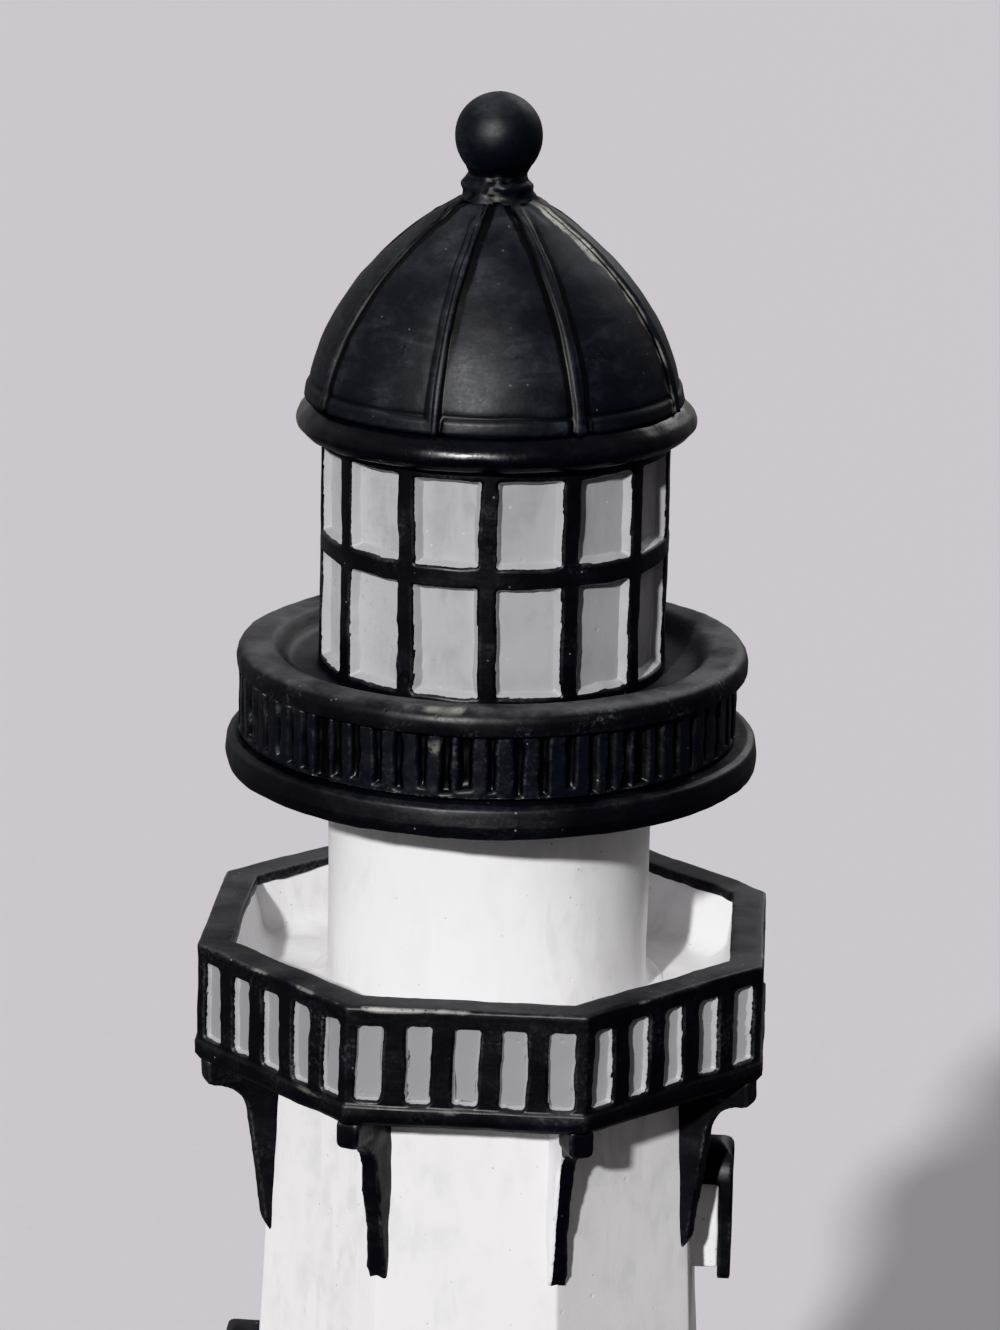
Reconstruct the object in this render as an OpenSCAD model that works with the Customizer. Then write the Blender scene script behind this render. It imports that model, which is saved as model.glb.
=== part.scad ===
// Lighthouse figurine, cast and painted: plinth, tapered octagonal tower, bracketed
// parapet walk, round watch room, gallery, glazed lantern, ribbed dome and ball finial.
// Separate castings that seat in one another. Millimetres, +Z up, front towards -Y,
// standing on z = 0.

/* [Base] */
// Circumradius of the octagonal bottom slab
base_r = 66; // [62:1:76]
// Thickness of the bottom slab
slab_h = 10.5; // [9:0.5:16]
// Height of the upper plinth step
step_h = 8; // [7:0.5:12]
// Thickness of the rubber base pad
pad_t = 1.5; // [1:0.5:3]

/* [Tower] */
// Height of the tower between plinth and parapet
tower_h = 205; // [180:1:240]
// Circumradius of the tower at its foot
tower_foot_r = 47; // [44:0.5:49]
// Circumradius of the tower under the parapet
tower_top_r = 36.7; // [34.5:0.1:38]
// Thickness of the tower wall
wall_t = 5; // [4.5:0.5:6]

/* [Parapet walk] */
// Circumradius of the parapet over its outer corners
parapet_r = 50; // [48.5:0.5:56]
// Height of the parapet from its underside to its coping
parapet_h = 20; // [18:0.5:24]
// Width of the flat coping
coping_w = 5.6; // [4.8:0.1:6.4]
// Recessed panels on each of the eight sides
panels_per_side = 5; // [3:1:6]
// Share of each panel pitch that is open
panel_share = 0.58; // [0.4:0.01:0.7]

/* [Brackets] */
// How far the bracket caps reach from the tower axis, as a share of the parapet radius
bracket_reach = 0.98; // [0.93:0.01:0.98]
// Thickness of the bracket plate
bracket_t = 3; // [2.4:0.1:3.6]
// Height of a bracket from cap to foot
bracket_h = 31; // [26:0.5:38]

/* [Watch room] */
// Outer radius of the round watch room
drum_r = 26.6; // [24.5:0.1:28]
// Height of the watch room above the parapet coping
drum_h = 27.3; // [22:0.1:34]

/* [Gallery] */
// Outer radius of the gallery rim
gallery_r = 41.8; // [39.5:0.1:46]
// Height of the balustrade between ledge and rim
balustrade_h = 10.3; // [8:0.1:14]
// Number of balustrade bays round the gallery
gallery_bays = 9; // [6:1:10]
// Slats in each bay
bay_slats = 7; // [5:1:8]
// How far the hand-set balustrade sits off centre
balustrade_shift = 0.6; // [0:0.1:0.8]

/* [Lantern] */
// Outer radius of the lantern frame
lantern_r = 28.35; // [26.5:0.05:29]
// Height of the lantern between gallery deck and eave
lantern_h = 39.9; // [34:0.1:46]
// Upright bars round the lantern
lantern_bars = 13; // [8:1:14]
// Width of an upright bar
bar_w = 2.4; // [1.8:0.1:3]
// How far the lantern was turned when it was glued in place
lantern_turn = 1.8; // [-10:0.1:10]

/* [Roof] */
// Radius over the rolled eave
eave_r = 32.55; // [32:0.05:35]
// Height of the dome above the eave
dome_h = 32.3; // [28:0.1:40]
// How far the hand-set dome and finial sit off centre
roof_shift = 0.35; // [0:0.05:0.5]
// Ribs on the dome
dome_ribs = 8; // [6:1:10]
// How far the dome was turned when it was glued in place
dome_turn = 7.8; // [-10:0.1:10]
// Radius of the finial ball
ball_r = 7; // [5.8:0.1:8.5]

/* [Windows and door] */
// Width over a window frame
window_w = 12.4; // [11:0.1:14]
// Height over a window frame
window_h = 23; // [20:0.5:27]
// How far a window frame stands out from the tower
window_reach = 7.6; // [6.5:0.1:9]
// Width over the door frame
door_w = 18; // [16:0.5:21]
// Height over the door frame
door_h = 34; // [30:0.5:40]

/* [Hidden] */

$fn = 96;
OCT = 8;
STEP = 360 / OCT;
FLAT = cos(STEP / 2);

BLACK = [0.04, 0.04, 0.045];
WHITE = [0.90, 0.90, 0.91];
PALE = [0.70, 0.70, 0.72];
STEEL = [0.62, 0.62, 0.64];
RUBBER = [0.07, 0.07, 0.07];

// play on each side between castings that seat in one another
fit = 0.15;
// depth of the plugs under the plinth step, the gallery deck and the eave
plug_h = 4;
// how far the inner bores stay inside the bores of the watch room and the lantern
bore_step = 4;
eps = 0.01;

// heights, from the ground up
z_slab = pad_t;
z_step = z_slab + slab_h;
z_tower = z_step + step_h;
z_walk = z_tower + tower_h;
z_coping = z_walk + parapet_h;
z_ledge = z_coping + drum_h;
ledge_t = 6;
z_balustrade = z_ledge + ledge_t;
z_rim = z_balustrade + balustrade_h;
rim_t = 4.3;
rim_drop = 4.4;
z_lantern = z_rim + rim_t - rim_drop;
z_eave = z_lantern + lantern_h;
eave_roll = 3.05;
eave_flat = 5.5;
z_dome = z_eave + eave_flat;
z_finial = z_dome + dome_h;

// base
slab_edge = 1.5;
step_r = base_r - 7;
plate_r = 38;
plate_t = 3;
shaft_hole_r = 34;
step_spigot_wall = 5;
skirt_h = 6;
skirt_t = 2.6;
screw_r = 1.2;
screw_at = 36;
screws = 4;
screw_bite = 4;

// tower
spigot_h = 5;
tower_spigot_r = 27;
tower_cap_t = 6;
function tower_r(z) = tower_foot_r + (tower_top_r - tower_foot_r) * (z - z_tower) / tower_h;
function tower_flat(z) = tower_r(z) * FLAT;
function pocket_x(top) = tower_flat(top) - pocket;

// parapet
rail_h = 2.9;
coping_t = 1.5;
foot_rail_h = 3.8;
foot_rail_out = 0.4;
relief = 1.5;
well_depth = 11;
cove = 4;
parapet_flat = parapet_r * FLAT;
well_flat = parapet_flat - coping_w;
tray_flat = parapet_flat - relief - fit;
side_len = 2 * parapet_r * sin(STEP / 2);
panel_pitch = side_len / panels_per_side;
panel_w = panel_pitch * panel_share;
boss_h = 5;
drum_wall = 3.1;
drum_bore = drum_r - drum_wall;

// brackets
cap_r = parapet_r * bracket_reach;
cap_h = 4.7;
cap_l = 5.6;
cap_side = 0.5;
leg_r = tower_top_r + 4.5;
tongue_r = tower_top_r - 1.5;
slot_r = tongue_r - 0.2;
peg_r = 1;
peg_h = 4;
peg_at = cap_r - 3.2;

// gallery
ledge_r = gallery_r + 1.95;
wall_r = gallery_r - 0.9;
wall_in = wall_r - 3.9;
groove_deep = 1.1;
groove_w = 1;
gap_deep = 1.5;
gap_w = 2.2;
first_gap = 1.2;
deck_land = 6;
rim_lip = 0.9;

// lantern
core_r = lantern_r - 1.2;
core_wall = 3;
core_bore = core_r - core_wall;
sill_h = 1.7;
head_h = 2.5;
mid_h = 2.6;
mid_at = 0.545;

// roof
dome_r = eave_r - 2.15;
rib_out = 0.55;
rib_foot_w = 2.7;
rib_head_w = 1.5;
rib_band_h = 1.6;
dome_steps = 18;
dome_seat_in = 5;
dome_seat_h = 3;
roll_drop = 2.75;
finial_foot_r = 5.8;
neck_r = 4.7;
dowel_r = 1.25;
dowel_len = 20;
ball_up = 9.9;

// windows: top of each frame, and the wall pocket that holds the surround
pocket = 1.6;
hood_t = 1.25;
plate_front = 2.2;
hood_round = 3;
front_window_top = z_tower + tower_h * 0.54;
left_window_top = z_tower + tower_h * 0.73;
right_window_top = z_walk - 17.7;
door_foot = z_tower + skirt_h + 0.7;

module oct(r, h, z) {
    translate([0, 0, z])
        rotate([0, 0, STEP / 2])
            cylinder(h = h, r = r, $fn = OCT);
}

module oct_taper(r1, r2, h, z) {
    translate([0, 0, z])
        rotate([0, 0, STEP / 2])
            cylinder(h = h, r1 = r1, r2 = r2, $fn = OCT);
}

// octagonal slab with its top edges planed off at 45 degrees
module planed_oct(r, h, z, edge) {
    difference() {
        oct(r, h, z);
        for (k = [0 : OCT - 1])
            rotate([0, 0, STEP * k])
                translate([r * FLAT, 0, z + h])
                    rotate([0, 45, 0])
                        cube([edge * sqrt(2), 2 * r, edge * sqrt(2)], center = true);
    }
}

module disc(r, h, z) {
    translate([0, 0, z])
        cylinder(h = h, r = r);
}

module tube(r, bore, h, z) {
    difference() {
        disc(r, h, z);
        disc(bore, h + 2, z - 1);
    }
}

module torus(r, roll, z) {
    translate([0, 0, z])
        rotate_extrude()
            translate([r, 0])
                circle(r = roll);
}

// Base

module base_pad() {
    color(RUBBER)
        oct(base_r - 3, pad_t, 0);
}

module base_plate() {
    color(BLACK)
        difference() {
            oct(plate_r - fit, plate_t, z_slab);
            for (k = [0 : screws - 1])
                rotate([0, 0, 90 * k])
                    translate([screw_at * FLAT, 0, z_slab - 1])
                        cylinder(h = plate_t + 2, r = screw_r + 0.2, $fn = 32);
            for (k = [0 : screws - 1])
                rotate([0, 0, 90 * k])
                    translate([screw_at * FLAT, 0, z_slab - eps])
                        cylinder(h = 1.3, r1 = 2.6, r2 = screw_r + 0.2, $fn = 32);
        }
}

module base_screws() {
    color(STEEL)
        for (k = [0 : screws - 1])
            rotate([0, 0, 90 * k])
                translate([screw_at * FLAT, 0, z_slab]) {
                    cylinder(h = 1.2, r1 = 2.4, r2 = screw_r, $fn = 32);
                    cylinder(h = plate_t + screw_bite, r = screw_r, $fn = 32);
                }
}

module plinth_slab() {
    color(BLACK)
        difference() {
            planed_oct(base_r, slab_h, z_slab, slab_edge);
            oct(plate_r, plate_t, z_slab - eps);
            oct(shaft_hole_r - 2, slab_h - 3, z_slab + 1);
            oct(shaft_hole_r, plug_h + eps, z_step - plug_h);
            for (k = [0 : screws - 1])
                rotate([0, 0, 90 * k])
                    translate([screw_at * FLAT, 0, z_slab])
                        cylinder(h = plate_t + screw_bite + 0.5, r = screw_r + 0.05, $fn = 32);
        }
}

module plinth_step() {
    color(WHITE)
        difference() {
            union() {
                oct(shaft_hole_r - fit, plug_h, z_step - plug_h);
                planed_oct(step_r, step_h, z_step, slab_edge);
            }
            oct(shaft_hole_r - step_spigot_wall, step_h + 6, z_step - 5);
        }
}

module tower_skirt() {
    color(BLACK)
        difference() {
            oct_taper(tower_foot_r + skirt_t, tower_foot_r + skirt_t - 0.8, skirt_h, z_tower);
            oct_taper(tower_r(z_tower - 1) + fit, tower_r(z_tower + skirt_h + 1) + fit, skirt_h + 2, z_tower - 1);
        }
}

// Tower

// block along X from x0 to x1 with a round head: half its width to each side, foot to crown
module arch_block(x0, x1, half, foot, crown) {
    spring = crown - half;
    translate([x0, -half, foot])
        cube([x1 - x0, 2 * half, spring - foot]);
    translate([x0, 0, spring])
        rotate([0, 90, 0])
            cylinder(h = x1 - x0, r = half, $fn = 64);
}

// recess in the wall that holds the surround of a window or door whose frame has this top
module wall_pocket(turn, w, top, foot) {
    rotate([0, 0, turn])
        arch_block(pocket_x(top), pocket_x(top) + 20, w / 2 - hood_t + fit, foot, top - hood_t + fit);
}

module tower_shaft() {
    color(WHITE)
        difference() {
            union() {
                oct_taper(tower_foot_r, tower_top_r, tower_h, z_tower);
                oct(tower_spigot_r, spigot_h, z_walk);
                oct(shaft_hole_r - step_spigot_wall - fit, spigot_h, z_tower - spigot_h);
            }
            oct_taper(tower_foot_r - wall_t / FLAT, tower_top_r - wall_t / FLAT - 0.4,
                      tower_h - tower_cap_t - 2, z_tower + 2);
            oct(shaft_hole_r - 2 * step_spigot_wall, spigot_h + 4, z_tower - spigot_h - 1);
            for (k = [0 : OCT - 1])
                rotate([0, 0, STEP * (k + 0.5)])
                    translate([slot_r, -bracket_t / 2 - fit, z_walk - bracket_h - 0.2])
                        cube([20, bracket_t + 2 * fit, bracket_h + 1]);
            wall_pocket(0, window_w, right_window_top, right_window_top - window_h + hood_t - fit);
            wall_pocket(180, window_w, left_window_top, left_window_top - window_h + hood_t - fit);
            wall_pocket(-90, window_w, front_window_top, front_window_top - window_h + hood_t - fit);
            wall_pocket(-90, door_w, door_foot + door_h, door_foot - fit);
        }
}

// Windows and door, drawn on the +X side and then turned to their wall

// outer face of a frame whose top is at the given height
function frame_face(top) = tower_flat(top) + window_reach;

// white casing between the wall and the front frame, with a shallow seat for the pane
module surround(w, top, foot) {
    face = frame_face(top) - plate_front;
    difference() {
        arch_block(pocket_x(top) + fit, face, w / 2 - hood_t - fit, foot, top - hood_t - fit);
        arch_block(face - 0.9, face + 1, w / 2 - hood_t - 1, foot + 1, top - hood_t - 1);
    }
}

module pane(w, top, foot) {
    face = frame_face(top) - plate_front;
    arch_block(face - 0.8, face, w / 2 - hood_t - 1 - fit, foot + 1 + fit, top - hood_t - 1 - fit);
}

// side view of a frame: flat top, rounded outer edge, upright front
module frame_outline(h, top) {
    face = frame_face(top);
    root = tower_flat(top - window_w / 2) + 0.15;
    arc = [for (a = [90 : -15 : 0]) [face - hood_round + hood_round * cos(a), top - hood_round + hood_round * sin(a)]];
    polygon(concat([[root, top - h], [root, top]], arc, [[face, top - h]]));
}

// black front frame whose arched head runs back to the wall as a hood
module hood(w, h, top, sill) {
    face = frame_face(top);
    back = face - plate_front;
    difference() {
        intersection() {
            rotate([90, 0, 0])
                translate([0, 0, -w / 2])
                    linear_extrude(height = w)
                        frame_outline(h, top);
            arch_block(0, face + 1, w / 2, top - h, top);
        }
        arch_block(back - 20, back, w / 2 - hood_t, top - h - 1, top - hood_t);
        translate([back - 20, -w / 2 - 1, top - h - 1])
            cube([20, w + 2, h - w / 2 + 1]);
        arch_block(back - 0.5, face + 1, w / 2 - 2.3, top - h + sill, top - 2.3);
    }
}

module glazing_bars(w, h, top) {
    back = frame_face(top) - plate_front;
    translate([back, -0.6, top - h + 1])
        cube([1.4, 1.2, h - 2.5]);
    translate([back, -w / 2 + 1.5, top - h * 0.55])
        cube([1.4, w - 3, 1.2]);
}

module window_surround(turn, top) {
    color(WHITE)
        rotate([0, 0, turn])
            surround(window_w, top, top - window_h + hood_t);
}

module window_pane(turn, top) {
    color(PALE)
        rotate([0, 0, turn])
            pane(window_w, top, top - window_h + hood_t);
}

module window_hood(turn, top) {
    color(BLACK)
        rotate([0, 0, turn]) {
            hood(window_w, window_h, top, 2.3);
            glazing_bars(window_w, window_h, top);
        }
}

module window_front_surround() {
    window_surround(-90, front_window_top);
}

module window_front_hood() {
    window_hood(-90, front_window_top);
}

module window_front_pane() {
    window_pane(-90, front_window_top);
}

module window_left_surround() {
    window_surround(180, left_window_top);
}

module window_left_hood() {
    window_hood(180, left_window_top);
}

module window_left_pane() {
    window_pane(180, left_window_top);
}

module window_right_surround() {
    window_surround(0, right_window_top);
}

module window_right_hood() {
    window_hood(0, right_window_top);
}

module window_right_pane() {
    window_pane(0, right_window_top);
}

module door_surround() {
    color(WHITE)
        rotate([0, 0, -90])
            surround(door_w, door_foot + door_h, door_foot);
}

module door_hood() {
    color(BLACK)
        rotate([0, 0, -90])
            hood(door_w, door_h, door_foot + door_h, -1);
}

module door_leaf() {
    top = door_foot + door_h;
    back = frame_face(top) - plate_front;
    color(PALE)
        rotate([0, 0, -90]) {
            pane(door_w, top, door_foot);
            for (side = [-1, 1])
                for (row = [0, 1])
                    translate([back - 0.1, side * door_w * 0.13 - door_w * 0.09, door_foot + 3 + row * door_h * 0.36])
                        cube([0.7, door_w * 0.18, door_h * 0.28]);
        }
}

module door_step() {
    face = (tower_foot_r + skirt_t) * FLAT + fit;
    reach = step_r * FLAT - 2.2 - face;
    color(BLACK)
        rotate([0, 0, -90]) {
            translate([face, -door_w / 2 - 2, z_tower])
                cube([reach, door_w + 4, 3]);
            translate([face, -door_w / 2, z_tower + 3])
                cube([reach / 2, door_w, skirt_h - 3]);
        }
}

// Brackets under the parapet corners

// side view: cap, quarter-round hollow, leg that leans in to the tower, foot
module bracket_outline() {
    hollow_r = cap_r - 0.9 - leg_r;
    hollow_z = z_walk - cap_h - hollow_r;
    foot_r = tower_r(z_walk - bracket_h) + 0.5;
    hollow = [for (a = [98 : 8.2 : 180]) [leg_r + hollow_r + hollow_r * cos(a), hollow_z + hollow_r * sin(a)]];
    polygon(concat(
        [[tongue_r, z_walk], [cap_r, z_walk], [cap_r, z_walk - cap_h + 0.9], [cap_r - 0.5, z_walk - cap_h + 0.1]],
        hollow,
        [[foot_r, z_walk - bracket_h + 1.6], [foot_r - 0.8, z_walk - bracket_h], [tongue_r, z_walk - bracket_h]]
    ));
}

module bracket(corner) {
    color(BLACK)
        rotate([0, 0, STEP * (corner + 0.5)]) {
            rotate([90, 0, 0])
                translate([0, 0, -bracket_t / 2])
                    linear_extrude(height = bracket_t)
                        bracket_outline();
            translate([cap_r - cap_l, -bracket_t / 2 - cap_side, z_walk - cap_h + 0.9])
                cube([cap_l, bracket_t + 2 * cap_side, cap_h - 0.9]);
            translate([peg_at, 0, z_walk - 1])
                cylinder(h = peg_h + 1, r = peg_r, $fn = 32);
        }
}

module bracket_right_rear() {
    bracket(0);
}

module bracket_rear_right() {
    bracket(1);
}

module bracket_rear_left() {
    bracket(2);
}

module bracket_left_rear() {
    bracket(3);
}

module bracket_left_front() {
    bracket(4);
}

module bracket_front_left() {
    bracket(5);
}

module bracket_front_right() {
    bracket(6);
}

module bracket_right_front() {
    bracket(7);
}

// Parapet walk

module parapet_tray() {
    floor_z = z_coping - well_depth;
    color(WHITE)
        difference() {
            union() {
                difference() {
                    oct(tray_flat / FLAT, parapet_h - coping_t, z_walk);
                    oct_taper((well_flat - cove - 1.4) / FLAT, (well_flat - 1.4) / FLAT, cove, floor_z);
                    oct_taper((well_flat - 1.4) / FLAT, (well_flat + 0.2) / FLAT, well_depth, floor_z + cove - eps);
                }
                tube(drum_bore - fit, drum_bore - bore_step, boss_h, floor_z - eps);
            }
            oct(tower_spigot_r + 0.3, spigot_h + 0.3, z_walk - eps);
            for (k = [0 : OCT - 1])
                rotate([0, 0, STEP * (k + 0.5)])
                    translate([peg_at, 0, z_walk - 1])
                        cylinder(h = peg_h + 1.3, r = peg_r + fit, $fn = 32);
        }
}

module parapet_frame() {
    open_h = parapet_h - rail_h - foot_rail_h;
    color(BLACK)
        difference() {
            union() {
                oct(parapet_r, parapet_h, z_walk);
                oct(parapet_r + foot_rail_out, foot_rail_h, z_walk);
            }
            oct((tray_flat + fit) / FLAT, parapet_h - coping_t + 1, z_walk - 1);
            oct(well_flat / FLAT, parapet_h + 2, z_walk - 1);
            for (k = [0 : OCT - 1])
                rotate([0, 0, STEP * k])
                    for (i = [0 : panels_per_side - 1])
                        translate([tray_flat - 1, (i - (panels_per_side - 1) / 2) * panel_pitch - panel_w / 2, z_walk + foot_rail_h])
                            cube([10, panel_w, open_h]);
        }
}

// Watch room

module watch_room() {
    foot_z = z_coping - well_depth;
    cove_r = 3.2;
    sweep = [for (a = [180 : 15 : 270]) [drum_r + cove_r + cove_r * cos(a), foot_z + cove_r + cove_r * sin(a)]];
    color(WHITE)
        rotate_extrude()
            polygon(concat([[drum_bore, z_ledge], [drum_r, z_ledge]], sweep, [[drum_bore, foot_z]]));
}

// Gallery

// ledge section: flat underside, upright edge that leans in towards its rounded top
module gallery_ledge() {
    bore = drum_bore - bore_step;
    edge = [for (a = [0 : 15 : 75]) [ledge_r - 2.2 + 2.2 * cos(a), z_ledge + 1.4 + (ledge_t - 1.4) * sin(a)]];
    color(BLACK)
        rotate_extrude()
            polygon(concat(
                [[bore, z_ledge - spigot_h], [drum_bore - fit, z_ledge - spigot_h], [drum_bore - fit, z_ledge], [ledge_r, z_ledge]],
                edge,
                [[ledge_r - 2.2, z_balustrade], [wall_in - 1, z_balustrade], [wall_in - 1, z_balustrade + 3],
                 [wall_in - 4, z_balustrade + 3], [wall_in - 4, z_balustrade], [bore, z_balustrade]]
            ));
}

// upright slot cut in from the outside of the balustrade
module slot(w, deep) {
    translate([wall_r - deep, -w / 2, z_balustrade + 1])
        cube([deep + 2, w, balustrade_h - 2.2]);
}

// nine bays of slats, with narrow grooves between slats and a wide gap between bays
module gallery_balustrade() {
    bay = 360 / gallery_bays;
    color(BLACK)
        translate([-balustrade_shift, 0, 0])
            difference() {
                tube(wall_r, wall_in, balustrade_h, z_balustrade);
                for (b = [0 : gallery_bays - 1])
                    rotate([0, 0, -90 + first_gap + b * bay]) {
                        slot(gap_w, gap_deep);
                        for (g = [1 : bay_slats - 1])
                            rotate([0, 0, g * bay / bay_slats])
                                slot(groove_w, groove_deep);
                    }
            }
}

// rim and dished deck in one casting, with a plug below and a socket for the lantern
module gallery_deck() {
    top = z_rim + rim_t;
    land = gallery_r - deck_land;
    seat_r = lantern_r + 0.5;
    plug = wall_in - 1;
    bore = core_bore - bore_step;
    sink = rim_drop - rim_lip;
    dish = [for (i = [0 : 5]) [land - (land - seat_r) * i / 5, top - rim_lip - sink * sin(90 * i / 5)]];
    color(BLACK)
        difference() {
            rotate_extrude()
                polygon(concat(
                    [[bore, z_rim - plug_h], [plug, z_rim - plug_h], [plug, z_rim], [gallery_r - 0.5, z_rim], [gallery_r, z_rim + 0.6],
                     [gallery_r, top - 1], [gallery_r - 0.4, top - 0.3], [gallery_r - 1.2, top]],
                    dish,
                    [[bore, z_lantern]]
                ));
            disc(core_bore + 0.15, 10, z_lantern - 3.6);
        }
}

// Lantern

module lantern_core() {
    color(PALE)
        difference() {
            union() {
                disc(core_r, lantern_h, z_lantern);
                disc(core_bore, 3.4, z_lantern - 3.4);
            }
            disc(core_bore - core_wall, 8, z_lantern - 4);
            disc(core_bore, lantern_h, z_lantern + 2);
        }
}

module lantern_frame() {
    pitch = 360 / lantern_bars;
    light_w = 2 * lantern_r * sin(pitch / 2) - bar_w;
    mid_z = z_lantern + lantern_h * mid_at;
    color(BLACK)
        difference() {
            tube(lantern_r, core_r + fit, lantern_h, z_lantern);
            for (k = [0 : lantern_bars - 1])
                rotate([0, 0, -90 + lantern_turn + (k + 0.5) * pitch]) {
                    translate([core_bore, -light_w / 2, z_lantern + sill_h])
                        cube([lantern_r + 1 - core_bore, light_w, mid_z - mid_h / 2 - z_lantern - sill_h]);
                    translate([core_bore, -light_w / 2, mid_z + mid_h / 2])
                        cube([lantern_r + 1 - core_bore, light_w, z_eave - head_h - mid_z - mid_h / 2]);
                }
        }
}

// Roof

module eave_ring() {
    roll_r = eave_r - eave_roll;
    roll_z = z_dome - roll_drop;
    color(BLACK)
        difference() {
            union() {
                torus(roll_r, eave_roll, roll_z);
                disc(roll_r, eave_flat, z_eave);
                disc(core_bore - fit, plug_h + eps, z_eave - plug_h);
                disc(dome_r - dome_seat_in, dome_seat_h, z_dome - eps);
            }
            disc(core_bore - bore_step, eave_flat + 4 * plug_h, z_eave - 2 * plug_h);
            tube(lantern_r + 0.3, core_bore - fit, plug_h, z_eave - plug_h);
            tube(roll_r + 6, dome_r - dome_seat_in, 5, z_dome);
        }
}

// outline radius of the dome at a share of its height, fuller than a cone and flatter than a ball
function dome_at(u) = dome_r * pow(1 - pow(0.064 + 0.876 * u, 1.892), 0.7536) / 0.9959;

module roof_dome() {
    outer = [for (i = [0 : dome_steps]) [dome_at(i / dome_steps), z_dome + dome_h * i / dome_steps]];
    inner = [for (i = [dome_steps : -1 : 0]) [dome_at(i / dome_steps) * 0.9 - 1, z_dome + dome_h * 0.8 * i / dome_steps]];
    ribbed = [for (i = [0 : dome_steps]) [dome_at(i / dome_steps) + rib_out, z_dome + dome_h * i / dome_steps]];
    color(BLACK)
        translate([-roof_shift, 0, 0])
        difference() {
            union() {
                rotate_extrude()
                    polygon(concat(outer, [[0, z_finial], [0, z_dome + dome_h * 0.8]], inner));
                intersection() {
                    rotate_extrude()
                        polygon(concat(ribbed, [[0, z_finial], [0, z_dome + dome_h * 0.8]], inner));
                    for (k = [0 : dome_ribs - 1])
                        rotate([0, 0, -90 + dome_turn + (k + 0.5) * 360 / dome_ribs])
                            translate([0, 0, z_dome])
                                linear_extrude(height = dome_h)
                                    polygon([[0, -rib_head_w / 2], [dome_r + 2, -rib_foot_w / 2],
                                             [dome_r + 2, rib_foot_w / 2], [0, rib_head_w / 2]]);
                }
                tube(dome_r + 0.2, dome_r - 2, rib_band_h, z_dome);
            }
            disc(dowel_r + 0.1, dowel_len, z_finial - dowel_len / 2 - 1.2);
            disc(dome_r - dome_seat_in + 0.7, dome_seat_h + 0.4, z_dome - eps);
        }
}

module finial_dowel() {
    color(STEEL)
        translate([-roof_shift, 0, z_finial - dowel_len / 2 - 1])
            cylinder(h = dowel_len, r = dowel_r, $fn = 32);
}

module finial() {
    collar_z = z_finial + 1.45;
    color(BLACK)
        translate([-roof_shift, 0, 0])
        difference() {
            union() {
                torus(finial_foot_r - 1.45, 1.45, collar_z);
                disc(finial_foot_r - 1.45, 2.9, z_finial);
                translate([0, 0, z_finial + 1])
                    cylinder(h = ball_up - 1, r = neck_r);
                translate([0, 0, z_finial + ball_up - 6.2])
                    cylinder(h = 2, r1 = neck_r, r2 = neck_r + 0.8);
                translate([0, 0, z_finial + ball_up])
                    sphere(r = ball_r);
            }
            disc(dowel_r + 0.1, dowel_len / 2, z_finial - eps);
        }
}

base_pad();
base_plate();
base_screws();
plinth_slab();
plinth_step();
tower_skirt();
tower_shaft();
door_step();
door_surround();
door_hood();
door_leaf();
window_front_surround();
window_front_hood();
window_front_pane();
window_left_surround();
window_left_hood();
window_left_pane();
window_right_surround();
window_right_hood();
window_right_pane();
bracket_front_left();
bracket_front_right();
bracket_right_front();
bracket_right_rear();
bracket_rear_right();
bracket_rear_left();
bracket_left_rear();
bracket_left_front();
parapet_tray();
parapet_frame();
watch_room();
gallery_ledge();
gallery_balustrade();
gallery_deck();
lantern_core();
lantern_frame();
eave_ring();
roof_dome();
finial_dowel();
finial();
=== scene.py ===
"""Lighthouse figurine in painted cast resin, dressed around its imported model.

Sizes held by the classes are millimetres in the part's own frame: +Z up, front towards -Y,
standing on z = 0. Meshes are handed to Blender in metres.
"""
import sys
import logging
import math
from collections.abc import Sequence
from dataclasses import dataclass, field, replace
from enum import Enum, IntEnum
from functools import cache

import bpy
import numpy as np
from mathutils import Matrix, Vector


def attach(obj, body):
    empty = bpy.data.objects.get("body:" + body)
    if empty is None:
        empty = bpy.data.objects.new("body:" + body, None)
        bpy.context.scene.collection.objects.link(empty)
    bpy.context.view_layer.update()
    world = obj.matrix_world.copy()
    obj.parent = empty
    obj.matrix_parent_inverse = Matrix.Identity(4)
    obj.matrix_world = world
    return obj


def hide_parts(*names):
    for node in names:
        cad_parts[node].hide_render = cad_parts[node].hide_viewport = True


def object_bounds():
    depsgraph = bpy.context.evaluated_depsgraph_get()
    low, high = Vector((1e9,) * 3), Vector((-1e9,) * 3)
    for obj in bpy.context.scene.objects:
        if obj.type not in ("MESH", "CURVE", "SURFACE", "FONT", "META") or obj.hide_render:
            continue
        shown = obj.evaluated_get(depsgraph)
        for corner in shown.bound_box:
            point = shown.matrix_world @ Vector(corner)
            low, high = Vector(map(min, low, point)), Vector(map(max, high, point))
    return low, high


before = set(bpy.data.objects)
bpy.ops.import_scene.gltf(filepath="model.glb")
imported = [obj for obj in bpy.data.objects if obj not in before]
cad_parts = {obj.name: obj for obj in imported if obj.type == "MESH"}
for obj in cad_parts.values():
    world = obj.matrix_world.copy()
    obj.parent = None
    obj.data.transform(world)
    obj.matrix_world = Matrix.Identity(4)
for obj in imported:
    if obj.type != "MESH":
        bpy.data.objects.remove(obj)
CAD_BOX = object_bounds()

MM = 0.001  # metres in a millimetre
ROOT = "root"  # the only body, since nothing on the figurine moves
SIDES = 8  # sides of the tower and all that is octagonal with it
TURN = 360 / SIDES  # degrees from one side to the next
HALF_TAN = math.tan(math.radians(TURN / 2))  # half a side's length over its distance from the axis
FLAT = math.cos(math.radians(TURN / 2))  # that distance over the radius to the corners
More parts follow.
